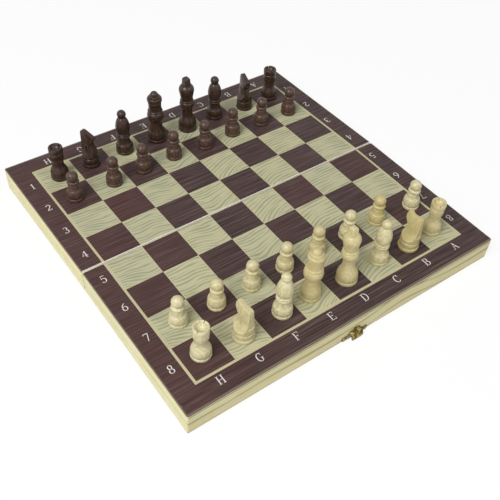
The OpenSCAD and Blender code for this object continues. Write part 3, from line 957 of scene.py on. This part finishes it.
class Pen:
    """A broad pen: upright strokes come out thick and level ones thin."""

    thick = 0.118
    thin = 0.052

    @classmethod
    def width(cls, step: Vector, weight: float | None) -> float:
        """How wide a stroke is.

        Args:
            step: the way it runs.
            weight: its own width, or None for what the pen gives.

        Returns:
            The width.
        """
        if weight is not None:
            return weight
        return cls.thin + (cls.thick - cls.thin) * (abs(step.y) / step.length) ** 1.5

    @classmethod
    def outline(cls, points: Sequence[Point], weight: float | None) -> list[Vector]:
        """The closed outline of one stroke.

        Args:
            points: the stroke's middle line.
            weight: its width, or None for what the pen gives.

        Returns:
            The outline's corners.
        """
        line = [Vector(point) for point in points]
        left, right = [], []
        for index, point in enumerate(line):
            step = line[min(index + 1, len(line) - 1)] - line[max(index - 1, 0)]
            side = Vector((-step.y, step.x)).normalized() * cls.width(step, weight) / 2
            left.append(point + side)
            right.append(point - side)
        return left + right[::-1]


def arc(middle: Point, reach: Point, start: float, end: float, steps: int = 14) -> list[Point]:
    """Points on an ellipse's arc.

    Args:
        middle: its middle.
        reach: its half width and half height.
        start: first angle, in degrees.
        end: last angle, in degrees.
        steps: how many chords.

    Returns:
        The points.
    """
    turns = [math.radians(start + (end - start) * i / steps) for i in range(steps + 1)]
    return [(middle[0] + reach[0] * math.cos(t), middle[1] + reach[1] * math.sin(t)) for t in turns]


class Alphabet:
    """Plain roman capitals and figures, drawn one unit high with a broad pen."""

    stem = 0.13
    far_stem = 0.61
    foot_reach = 0.13
    thin = Pen.thin
    thick = Pen.thick
    bar = 0.08
    low = Pen.thin / 2
    high = 1 - Pen.thin / 2

    def strokes(self, sign: str) -> list[Stroke]:
        """The strokes of one sign, as (middle line, weight)."""
        return getattr(self, f"sign_{sign.lower()}")()

    def hair(self, *points: Point) -> Stroke:
        """A thin straight stroke."""
        return list(points), self.thin

    def upright(self, x: float, high: bool = True) -> list[Stroke]:
        """A thick stem with feet.

        Args:
            x: where it stands.
            high: whether it has a foot at its top too.

        Returns:
            The strokes.
        """
        levels = (self.low, self.high) if high else (self.low,)
        feet = [self.hair((x - self.foot_reach, level), (x + self.foot_reach, level)) for level in levels]
        return [([(x, 0), (x, 1)], self.thick), *feet]

    def sign_a(self) -> list[Stroke]:
        """A."""
        return [
            self.hair((0.07, 0), (0.37, 1)),
            ([(0.34, 1), (0.65, 0)], self.thick),
            self.hair((0.17, 0.34), (0.55, 0.34)),
            self.hair((-0.03, self.low), (0.17, self.low)),
            self.hair((0.52, self.low), (0.78, self.low)),
        ]

    def sign_b(self) -> list[Stroke]:
        """B."""
        upper = [(self.stem, self.high), (0.36, self.high)]
        upper += [*arc((0.36, 0.75), (0.19, 0.225), 90, -90), (self.stem, 0.525)]
        lower = [(0.36, 0.52), *arc((0.38, 0.27), (0.24, 0.247), 90, -90), (self.stem, self.low)]
        return self.upright(self.stem) + [(upper, None), (lower, None)]

    def sign_c(self) -> list[Stroke]:
        """C."""
        return [(arc((0.4, 0.5), (0.31, 0.48), 42, 318, 22), None), self.hair((0.63, 0.99), (0.63, 0.68))]

    def sign_d(self) -> list[Stroke]:
        """D."""
        bowl = [(self.stem, self.high), *arc((0.3, 0.5), (0.36, 0.474), 90, -90, 18), (self.stem, self.low)]
        return self.upright(self.stem) + [(bowl, None)]

    def sign_e(self) -> list[Stroke]:
        """E."""
        foot = self.hair((self.stem, self.low), (0.62, self.low))
        return [*self.sign_f(), foot, self.hair((0.62, 0), (0.62, 0.22))]

    def sign_f(self) -> list[Stroke]:
        """F."""
        return [
            *self.upright(self.stem),
            self.hair((self.stem, self.high), (0.6, self.high)),
            self.hair((0.6, 1), (0.6, 0.8)),
            self.hair((self.stem, 0.52), (0.45, 0.52)),
            self.hair((0.45, 0.43), (0.45, 0.61)),
        ]

    def sign_g(self) -> list[Stroke]:
        """G."""
        return [
            (arc((0.4, 0.5), (0.31, 0.48), 45, 312, 22), None),
            self.hair((0.6, 0.99), (0.6, 0.7)),
            ([(0.6, 0.1), (0.6, 0.42)], self.thick),
            self.hair((0.45, 0.42), (0.73, 0.42)),
        ]

    def sign_h(self) -> list[Stroke]:
        """H."""
        cross = self.hair((self.stem, 0.51), (self.far_stem, 0.51))
        return [*self.upright(self.stem), *self.upright(self.far_stem), cross]

    def sign_1(self) -> list[Stroke]:
        """1."""
        return [*self.upright(0.38, high=False), self.hair((0.38, 0.98), (0.2, 0.84))]

    def sign_2(self) -> list[Stroke]:
        """2."""
        curl = [*arc((0.36, 0.73), (0.22, 0.25), 165, -25, 12), (0.3, 0.28), (0.12, 0.06)]
        return [(curl, None), ([(0.1, 0.04), (0.6, 0.04)], self.bar), self.hair((0.6, 0), (0.62, 0.2))]

    def sign_3(self) -> list[Stroke]:
        """3."""
        upper = arc((0.34, 0.76), (0.2, 0.22), 155, -90, 12)
        lower = arc((0.34, 0.28), (0.25, 0.26), 90, -155, 14)
        return [(upper, None), (lower, None)]

    def sign_4(self) -> list[Stroke]:
        """4."""
        return [
            self.hair((0.47, 1), (0.06, 0.3)),
            self.hair((0.04, 0.3), (0.68, 0.3)),
            ([(0.48, 1), (0.48, 0)], self.thick),
            self.hair((0.34, self.low), (0.62, self.low)),
        ]

    def sign_5(self) -> list[Stroke]:
        """5."""
        bowl = arc((0.34, 0.32), (0.26, 0.3), 130, -150, 16)
        return [([(0.18, 0.96), (0.58, 0.96)], self.bar), self.hair((0.19, 0.98), (0.16, 0.5)), (bowl, None)]

    def sign_6(self) -> list[Stroke]:
        """6."""
        back = [(0.58, 0.97), (0.42, 0.9), (0.27, 0.76), (0.17, 0.56), (0.13, 0.35)]
        return [(back, None), *self.round_form((0.37, 0.3), (0.24, 0.28))]

    def sign_7(self) -> list[Stroke]:
        """7."""
        leg = ([(0.61, 0.95), (0.3, 0)], 0.09)
        return [([(0.1, 0.95), (0.64, 0.95)], self.bar), self.hair((0.11, 1), (0.09, 0.8)), leg]

    def sign_8(self) -> list[Stroke]:
        """8."""
        return self.round_form((0.36, 0.75), (0.19, 0.23)) + self.round_form((0.36, 0.27), (0.24, 0.25))

    @staticmethod
    def round_form(middle: Point, reach: Point) -> list[Stroke]:
        """A closed round of two half strokes."""
        return [(arc(middle, reach, -90, 90), None), (arc(middle, reach, 90, 270), None)]


@dataclass
class Board:
    """The printed films and the signs round the squares."""

    film_top: float = 21.3
    sign_height: float = 7.0
    sign_middle: float = 0.36
    ink_proud: float = 0.02
    near_letters_out: float = 133.6
    far_letters_out: float = 134.3
    near_letters: tuple[float, ...] = (-111.5, -79.5, -46.6, -14.7, 17.3, 49.5, 81.8, 113.0)
    far_letters: tuple[float, ...] = (-110.1, -79.2, -47.8, -15.7, 15.5, 47.4, 78.8, 110.4)
    left_figures_out: float = 134.6
    right_figures_out: float = 133.6
    left_figures: tuple[float, ...] = (-108.5, -77.0, -45.2, -13.7, 15.8, 47.4, 79.0, 110.1)
    right_figures: tuple[float, ...] = (-108.9, -77.3, -45.8, -14.3, 16.7, 48.3, 79.6, 110.9)
    ink: LetteringFinish = LetteringFinish("sign_ink")
    letters: str = "HGFEDCBA"
    figures: str = "87654321"

    def build(self) -> None:
        """Dresses both films and prints the signs of both halves."""
        for half in Half:
            finish = PrintFinish(f"{half.word}_print")
            # The rear film's near-white strip at the fold is wider: partly worn film, partly painted light.
            if half is Half.REAR:
                finish = PrintFinish(f"{half.word}_print", first_pale=1, fold_worn=1.0)
            dress(frame["nodes"][f"{half.word}_board_print"], finish)
            self._lettering(half)

    def _lettering(self, half: Half) -> None:
        """Makes one half's letters and figures, joined in one piece.

        Args:
            half: the half they are printed on.
        """
        near = half is Half.FRONT
        places = self.near_letters if near else self.far_letters
        y = half.way * (self.near_letters_out if near else self.far_letters_out)
        signs = [self._sign(letter, (x, y), not near) for letter, x in zip(self.letters, places)]
        for row in range(4) if near else range(4, FILES):
            left = (-self.left_figures_out, self.left_figures[row])
            right = (self.right_figures_out, self.right_figures[row])
            signs += [self._sign(self.figures[row], left, False), self._sign(self.figures[row], right, True)]
        whole = Bench.take(*signs)
        bpy.ops.object.join()
        whole.name = whole.data.name = f"{half.word}_lettering"
        Bench.settle(whole, half.seat())
        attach(whole, half.body)
        dress(whole, self.ink)

    def _sign(self, sign: str, middle: Point, turned: bool) -> bpy.types.Object:
        """One letter or figure as a thin plate of ink.

        Args:
            sign: which one.
            middle: its place on the board.
            turned: whether it faces the far side.

        Returns:
            The plate, in millimetres.
        """
        strokes = []
        for number, (points, weight) in enumerate(Alphabet().strokes(sign)):
            curve = bpy.data.curves.new(f"stroke_{number}", "CURVE")
            curve.dimensions = "2D"
            curve.fill_mode = "BOTH"
            curve.extrude = self.ink_proud / 2
            spline = curve.splines.new("POLY")
            corners = Pen.outline(points, weight)
            spline.points.add(len(corners) - 1)
            for corner, knot in zip(corners, spline.points):
                x, y = corner.x - self.sign_middle, corner.y - 0.5
                knot.co = (x * self.sign_height, y * self.sign_height, 0, 1)
            spline.use_cyclic_u = True
            piece = bpy.data.objects.new(f"stroke_{number}", curve)
            bpy.context.scene.collection.objects.link(piece)
            strokes.append(piece)
        Bench.take(*strokes)
        bpy.ops.object.convert(target="MESH")
        bpy.ops.object.join()
        plate = bpy.context.view_layer.objects.active
        turn = Matrix.Rotation(math.pi if turned else 0, 4, "Z")
        Bench.settle(plate, Matrix.Translation((*middle, self.film_top + self.ink_proud / 2)) @ turn)
        return plate


@dataclass
class Metalwork:
    """Hinges, catch and clasp."""

    edge: float = 0.09
    brass: MetalFinish = MetalFinish("dull_brass")
    steel: MetalFinish = MetalFinish("nail_steel", (150, 132, 96), (84, 68, 40), 0.34)

    def build(self) -> None:
        """Softens and dresses the brass and the nails."""
        brass_nodes = ["catch_plate", "clasp_plate", "clasp_loop"]
        brass_nodes += [f"{side}_hinge_{half.word}_leaf" for side in ("left", "right") for half in Half]
        brass_nodes += ["left_hinge_pin", "right_hinge_pin", "clasp_pin"]
        brass_nodes += ["hinge_screws_front", "hinge_screws_rear"]
        for node in brass_nodes:
            dress(Bench.softened(node, self.edge), self.brass)
        for node in ("catch_nails", "clasp_nails"):
            dress(Bench.softened(node, self.edge), self.steel)


# ---------------------------------------------------------------- the men


class Kind(Enum):
    """The six kinds of men."""

    PAWN = "pawn"
    ROOK = "rook"
    KNIGHT = "knight"
    BISHOP = "bishop"
    QUEEN = "queen"
    KING = "king"


def bend(start: Point, pull: Point, end: Point, steps: int = 8) -> Profile:
    """A curve drawn towards a point.

    Args:
        start: where it begins.
        pull: the point that it is drawn towards.
        end: where it ends.
        steps: how many chords.

    Returns:
        Its points without the first one.
    """
    points = []
    for i in range(1, steps + 1):
        t = i / steps
        a, b, c = (1 - t) ** 2, 2 * t * (1 - t), t * t
        points.append((a * start[0] + b * pull[0] + c * end[0], a * start[1] + b * pull[1] + c * end[1]))
    return points


def swell(r: float, depth: float, low: float, high: float, steps: int = 10) -> Profile:
    """A round bead.

    Args:
        r: its outer radius.
        depth: how far it stands out.
        low: height where it begins.
        high: height where it ends.
        steps: how many chords.

    Returns:
        Its points.
    """
    middle = (low + high) / 2
    turns = [math.radians(-90 + 180 * i / steps) for i in range(steps + 1)]
    return [(r - depth + depth * math.cos(t), middle + (high - low) / 2 * math.sin(t)) for t in turns]


def ring(r: float, low: float, high: float) -> Profile:
    """A bead with a half-round edge."""
    return swell(r, (high - low) / 2, low, high)


def ball(r: float, top: float, low: float, steps: int = 14) -> Profile:
    """The upper part of a ball, up to its pole.

    Args:
        r: the ball's radius.
        top: the pole's height.
        low: height where it begins.
        steps: how many chords.

    Returns:
        Its points.
    """
    first = math.asin((low - top + r) / r)
    turns = [first + (math.pi / 2 - first) * i / steps for i in range(steps + 1)]
    points = [(r * math.cos(t), top - r + r * math.sin(t)) for t in turns]
    return points[:-1] + [(0.0, top)]


@dataclass
class Turning:
    """The turned form that the men share: foot disc, groove and bell."""

    r: float
    h: float
    foot_h: float = 2.8
    groove: float = 0.5
    sides: int = 48
    soft_edge: float = 0.1
    soft_angle: float = 28
    shade_angle: float = 35
    merge_gap: float = 0.001

    def foot(self) -> Profile:
        """The foot disc and the groove over it."""
        r, h = self.r, self.foot_h
        return [(0, 0), (r - 0.7, 0), (r - 0.2, 0.25), (r, 0.8), (r, h - 0.5), (r - 0.15, h - 0.15),
                (r - 0.5, h), (r - self.groove, h + 0.2), (r - self.groove, h + 0.6)]

    def bell(self, waist_r: float, shoulder: float, neck_r: float, neck: float, step: float = 0) -> Profile:
        """The bell from the foot up to the neck.

        Args:
            waist_r: radius at the shoulder.
            shoulder: height of the shoulder.
            neck_r: radius of the neck.
            neck: height of the neck.
            step: depth of a fine step on the shoulder.

        Returns:
            The outline's points.
        """
        low = (self.r - 0.3, self.foot_h + 0.9)
        ledge = (waist_r - step, shoulder + 0.3)
        points = [low, *bend(low, (self.r + 0.3, shoulder * 0.72), (waist_r, shoulder))]
        if step:
            points.append(ledge)
        return points + bend(ledge, (neck_r + 0.25, shoulder + (neck - shoulder) * 0.4), (neck_r, neck))

    def outline(self) -> Profile:
        """The whole outline from the middle of the foot up to the pole."""
        raise NotImplementedError

    def carve(self, piece: bpy.types.Object) -> None:
        """Cuts the turned piece further, which most men don't need."""

    def make(self, name: str) -> bpy.types.Object:
        """Turns the man at the origin.

        Args:
            name: the new object's name.

        Returns:
            The man, in millimetres, standing on Z = 0.
        """
        Bench.free()
        bpy.ops.mesh.primitive_plane_add(size=1)
        piece = bpy.context.object
        piece.name = piece.data.name = name
        Bench.edit(piece)
        bpy.ops.mesh.merge(type="CENTER")
        last = Vector((0, 0, 0))
        for radius, height in self.outline()[1:]:
            point = Vector((radius, 0, height))
            bpy.ops.mesh.extrude_vertices_move(TRANSFORM_OT_translate={"value": point - last})
            last = point
        bpy.ops.mesh.select_all(action="SELECT")
        bpy.ops.mesh.spin(steps=self.sides, angle=math.tau, center=(0, 0, 0), axis=(0, 0, 1))
        bpy.ops.mesh.select_all(action="SELECT")
        bpy.ops.mesh.remove_doubles(threshold=self.merge_gap)
        bpy.ops.mesh.normals_make_consistent(inside=False)
        Bench.close()
        self.carve(piece)
        Bench.modify(piece, "BEVEL", width=self.soft_edge, segments=2, limit_method="ANGLE",
                     angle_limit=math.radians(self.soft_angle))
        Bench.smooth(piece, self.shade_angle)
        return piece


class Pawn(Turning):
    """A bell, a collar and a ball."""

    def outline(self) -> Profile:
        """See Turning.outline."""
        r, h = self.r, self.h
        return [*self.foot(), *self.bell(r * 0.84, h * 0.37, r * 0.62, h * 0.54, 0.4),
                *ring(r * 0.73, h * 0.58, h * 0.7), *ball(r * 0.68, h, h * 0.71)]


class Rook(Turning):
    """A tower with a cupped crown and a fine saw slot across it."""

    slot_width = 0.7
    slot_depth = 1.8

    def outline(self) -> Profile:
        """See Turning.outline."""
        r, h = self.r, self.h
        crown = r * 0.77
        cup = crown - 1.7
        neck = (r * 0.6, h * 0.475)
        return [*self.foot(), *self.bell(r * 0.8, h * 0.33, *neck),
                *bend(neck, (r * 0.62, h * 0.58), (crown - 0.3, h * 0.65)),
                (crown - 0.3, h - 5.6), (crown - 0.7, h - 5.2), (crown, h - 4.6), (crown, h - 0.8),
                (crown - 0.25, h - 0.2), (crown - 0.7, h), (cup, h - 0.5),
                *bend((cup, h - 0.5), (cup * 0.8, h - 3.2), (0.0, h - 4))]

    def carve(self, piece: bpy.types.Object) -> None:
        """Saws the slot.

        Args:
            piece: the turned rook.
        """
        Bench.free()
        bpy.ops.mesh.primitive_cube_add(size=1, location=(0, 0, self.h + 0.5 - self.slot_depth / 2))
        saw = bpy.context.object
        saw.scale = (2 * self.r, self.slot_width, self.slot_depth + 1)
        Bench.modify(piece, "BOOLEAN", operation="DIFFERENCE", object=saw, solver="EXACT")
        bpy.data.objects.remove(saw)


class Bishop(Turning):
    """A long egg of a body with a small ball on it."""

    def outline(self) -> Profile:
        """See Turning.outline."""
        r, h = self.r, self.h
        neck = h * 0.36
        body = (r * 0.69, neck + 5.6)
        chest = (r * 0.75, h * 0.7)
        return [*self.foot(), *self.bell(r * 0.87, h * 0.22, r * 0.6, neck, 0.5),
                *ring(r * 0.78, neck + 0.9, neck + 3), *ring(r * 0.77, neck + 3.4, neck + 5), body,
                *bend(body, (r * 0.9, h * 0.6), chest),
                *bend(chest, (r * 0.65, h * 0.79), (r * 0.39, h * 0.84)),
                *ball(r * 0.5, h, h * 0.855)]


class Queen(Turning):
    """A cushion of a collar low down, a coronet near the top and a ball on it."""

    def outline(self) -> Profile:
        """See Turning.outline."""
        r, h = self.r, self.h
        collar, collar_h, coronet = h * 0.43, h * 0.17, h * 0.8
        top = collar + collar_h
        body = (r * 0.7, top + 2.4)
        return [*self.foot(), *self.bell(r * 0.8, h * 0.23, r * 0.63, h * 0.39),
                *swell(r * 0.9, 1.8, collar, top), *ring(r * 0.81, top + 0.1, top + 1.7), body,
                *bend(body, (r * 0.66, (body[1] + coronet) / 2 + 1), (r * 0.72, coronet - 0.6)),
                *swell(r * 0.8, 1.1, coronet, coronet + 4.4),
                *ring(r * 0.62, coronet + 4.5, coronet + 5.7), *ball(r * 0.43, h, coronet + 6)]


class King(Turning):
    """A swelling body under a square finial."""

    finial_share = 0.73
    taper = 0.35
    chamfer = 1.6
    finial_edge = 0.45
    finial_angle = 20

    def outline(self) -> Profile:
        """See Turning.outline."""
        r, h = self.r, self.h
        collar, collar_h = h * 0.45, h * 0.105
        top = collar + collar_h
        neck, chest, body = (r * 0.55, h * 0.35), (r * 0.8, h * 0.745), (r * 0.63, top + 2.4)
        return [*self.foot(), *self.bell(r * 0.82, h * 0.21, *neck),
                *bend(neck, (r * 0.56, collar - 1.6), (r * 0.64, collar - 0.2)),
                *swell(r * 0.79, 1.2, collar, top), *ring(r * 0.72, top + 0.1, top + 1.7), body,
                *bend(body, (r * 0.69, h * 0.67), chest),
                *bend(chest, (r * 0.87, h * 0.82), (r * 0.52, self.shoulder)), (0.0, self.shoulder + 0.3)]

    @property
    def shoulder(self) -> float:
        """Height where the finial stands out."""
        return self.h * 0.855

    def carve(self, piece: bpy.types.Object) -> None:
        """Sets the finial on: a block whose top is drawn in twice.

        Args:
            piece: the turned king.
        """
        low = self.shoulder - 1
        rise = self.h - low - self.chamfer
        foot_width = self.r * self.finial_share
        width = foot_width - 2 * self.taper
        top_width = width - 2 * self.chamfer
        Bench.free()
        bpy.ops.mesh.primitive_cube_add(size=1)
        block = bpy.context.object
        middle = Matrix.Translation((0, 0, low + 0.5 * rise))
        Bench.settle(block, middle @ Matrix.Diagonal((foot_width, foot_width, rise, 1)))
        Bench.edit(block)
        bpy.ops.mesh.select_all(action="DESELECT")
        bpy.ops.mesh.select_mode(type="FACE")
        Bench.close()
        for face in block.data.polygons:
            face.select = face.normal.z > 0.9
        bpy.ops.object.mode_set(mode="EDIT")
        height = low + rise
        shrink = width / foot_width
        bpy.ops.transform.resize(value=(shrink, shrink, 1), center_override=(0, 0, height))
        bpy.ops.mesh.extrude_region_move(TRANSFORM_OT_translate={"value": (0, 0, self.chamfer)})
        shrink = top_width / width
        bpy.ops.transform.resize(value=(shrink, shrink, 1), center_override=(0, 0, height + self.chamfer))
        Bench.close()
        Bench.modify(block, "BEVEL", width=self.finial_edge, segments=3, limit_method="ANGLE",
                     angle_limit=math.radians(self.finial_angle))
        Bench.modify(piece, "BOOLEAN", operation="UNION", object=block, solver="EXACT")
        bpy.data.objects.remove(block)


@dataclass
class Men:
    """All 32 men, each standing where the board's solids have it."""

    knight_edge: float = 0.35
    knight_angle: float = 26
    files: str = "hgfedcba"
    back_rank: tuple[Kind, ...] = (Kind.ROOK, Kind.KNIGHT, Kind.BISHOP, Kind.QUEEN,
                                   Kind.KING, Kind.BISHOP, Kind.KNIGHT, Kind.ROOK)
    turns: dict[str, float] = field(default_factory=lambda: {
        "light_rook_h8": 30, "light_rook_a8": 50, "dark_rook_h1": 20, "dark_rook_a1": 70})
    crooked: str = "light_king_d8"
    crooked_foot: Place = (17.3, -112.65, 21.32)
    crooked_tilt: float = 4.0
    forms: dict[Kind, Turning] = field(default_factory=lambda: {
        Kind.PAWN: Pawn(7.0, 27.3), Kind.ROOK: Rook(7.7, 31.2), Kind.BISHOP: Bishop(7.7, 42.5),
        Kind.QUEEN: Queen(8.2, 50.0), Kind.KING: King(8.4, 53.99)})
    light: MenFinish = MenFinish(
        "light_boxwood",
        pawn_tints=(0.0, 0.3, 0.25, 0.3, 0.6, 0.15, 0.9, 0.05),
        back_tints=(0.05, 0.45, 0.05, 0.8, 0.6, 0.25, 0.85, 0.5),
    )
    dark: MenFinish = MenFinish(
        "dark_lacquered", (56, 39, 30), (18, 12, 9), (72, 48, 37),
        ring_width=3.0, ring_share=0.8, varnish=0.35, gloss=0.12, rough=0.4, mirror=0.2,
    )
    dark_small: MenFinish = MenFinish(
        "dark_lacquered_pawns", (80, 58, 48), (34, 23, 18), (94, 70, 59),
        ring_width=2.4, ring_share=0.7, varnish=0.3, gloss=0.15, mirror=0.2,
    )

    def build(self) -> None:
        """Turns one man of each kind and sets out the copies."""
        patterns = {kind: form.make(f"pattern_{kind.value}") for kind, form in self.forms.items()}
        for side, rank, kinds, half in self._ranks():
            dark = self.dark_small if rank == 2 else self.dark
            finish = self.light if side == "light" else dark
            for file, kind in zip(self.files, kinds):
                node = f"{side}_{kind.value}_{file}{rank}"
                if kind is Kind.KNIGHT:
                    piece = Bench.softened(node, self.knight_edge, self.knight_angle, self.knight_angle)
                else:
                    piece = self._set_out(patterns[kind], self.forms[kind], node, half)
                dress(piece, finish)
        for pattern in patterns.values():
            bpy.data.objects.remove(pattern)

    def _ranks(self) -> Iterable[tuple[str, int, Sequence[Kind], Half]]:
        """Each rank from the near side.

        Returns:
            Its side, number, kinds from the left, and half.
        """
        pawns = (Kind.PAWN,) * FILES
        yield "light", 8, self.back_rank, Half.FRONT
        yield "light", 7, pawns, Half.FRONT
        yield "dark", 2, pawns, Half.REAR
        yield "dark", 1, self.back_rank, Half.REAR

    def _set_out(self, pattern: bpy.types.Object, form: Turning, node: str, half: Half) -> bpy.types.Object:
        """Stands a copy of a turned man where its solid stands.

        Args:
            pattern: the man at the origin.
            form: its sizes.
            node: the solid's name.
            half: the half of the board it stands on.

        Returns:
            The copy.
        """
        piece = Bench.twin(pattern, f"{node}_dressed")
        if node == self.crooked:
            self._tilt(piece, form.r)
            Bench.settle(piece, half.seat() @ Matrix.Translation(self.crooked_foot))
        else:
            low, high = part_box(node)
            foot = Vector(((low.x + high.x) / 2, (low.y + high.y) / 2, low.z))
            foot.z += form.r * MM * math.sin(math.radians(LEAN))
            turn = Matrix.Rotation(math.radians(self.turns.get(node, 0)), 4, "Z")
            Bench.settle(piece, Matrix.Translation(foot) @ half.lean() @ turn @ Matrix.Scale(MM, 4))
        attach(piece, f"{node}_body")
        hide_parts(node)
        return piece

    def _tilt(self, piece: bpy.types.Object, foot_r: float) -> None:
        """Leans a man back and saws its foot flat again.

        Args:
            piece: the man at the origin.
            foot_r: radius of its foot.
        """
        tilt = math.radians(self.crooked_tilt)
        drop = Matrix.Translation((0, 0, -foot_r * math.sin(tilt)))
        Bench.settle(piece, drop @ Matrix.Rotation(-tilt, 4, "X"))
        Bench.free()
        bpy.ops.mesh.primitive_cube_add(size=4 * foot_r, location=(0, 0, -2 * foot_r))
        saw = bpy.context.object
        Bench.modify(piece, "BOOLEAN", operation="DIFFERENCE", object=saw, solver="EXACT")
        bpy.data.objects.remove(saw)


# ---------------------------------------------------------------- the studio


@dataclass
class Studio:
    """The floor, the lamps and the camera, in metres.

    Each lamp is a name, a place, the side of its softbox and its power in watts.
    """

    camera_place: Place = (-0.26766, -0.35373, 0.42754)
    camera_turn: tuple[float, float, float] = (43.755, -2.498, -35.761)
    lens: float = 52.11
    sensor: float = 36.0
    nearest_seen: float = 0.01
    floor_side: float = 24.0
    world_level: float = 0.26
    lamps: tuple[tuple[str, Place, float, float], ...] = (
        ("key", (-1.5, -0.35, 1.75), 1.1, 38.0),
        ("fill", (0.9, -1.9, 1.6), 1.6, 5.0),
        ("left_spot", (-1.3, -0.9, 1.5), 0.25, 5.0),
        ("right_spot", (0.6, -1.3, 1.5), 0.25, 4.0),
    )

    def build(self) -> None:
        """Sets everything up."""
        self._floor()
        self._world()
        for lamp in self.lamps:
            self._lamp(*lamp)
        self._camera()
        bpy.context.scene.view_settings.view_transform = "Standard"

    def _floor(self) -> None:
        """A wide white floor."""
        Bench.free()
        bpy.ops.mesh.primitive_plane_add(size=self.floor_side)
        floor = bpy.context.object
        floor.name = floor.data.name = "studio_floor"
        FloorFinish("studio_white").put_on(floor)

    def _world(self) -> None:
        """Even light from all round, seen as white."""
        world = bpy.data.worlds.new("studio")
        world.use_nodes = True
        bpy.context.scene.world = world
        sheet = NodeSheet(world.node_tree)
        level = sheet.seen() * (1 - self.world_level) + self.world_level
        light = sheet.flow("ShaderNodeBackground", {}, {"Color": WHITE, "Strength": level})
        sheet.node("ShaderNodeOutputWorld", {}, {"Surface": light})

    @staticmethod
    def _lamp(name: str, place: Place, size: float, power: float) -> None:
        """One square softbox that faces the board.

        Args:
            name: the lamp's name.
            place: where it hangs, in metres.
            size: its side, in metres.
            power: its power, in watts.
        """
        lamp = bpy.data.lights.new(name, "AREA")
        lamp.size = size
        lamp.energy = power
        holder = bpy.data.objects.new(name, lamp)
        holder.location = place
        holder.rotation_euler = (-Vector(place)).to_track_quat("-Z", "Y").to_euler()
        bpy.context.scene.collection.objects.link(holder)

    def _camera(self) -> None:
        """The camera, from the near left and above."""
        camera = bpy.data.cameras.new("camera")
        camera.lens = self.lens
        camera.sensor_width = self.sensor
        camera.clip_start = self.nearest_seen
        holder = bpy.data.objects.new("camera", camera)
        holder.location = self.camera_place
        holder.rotation_euler = [math.radians(v) for v in self.camera_turn]
        bpy.context.scene.collection.objects.link(holder)
        bpy.context.scene.camera = holder


def main() -> None:
    """Builds the studio, the box, the board, the metalwork and the men."""
    logging.basicConfig(level=logging.INFO, format="%(name)s: %(message)s")
    Studio().build()
    Trays().build()
    Board().build()
    Metalwork().build()
    Men().build()


if __name__ == "__main__":
    main()
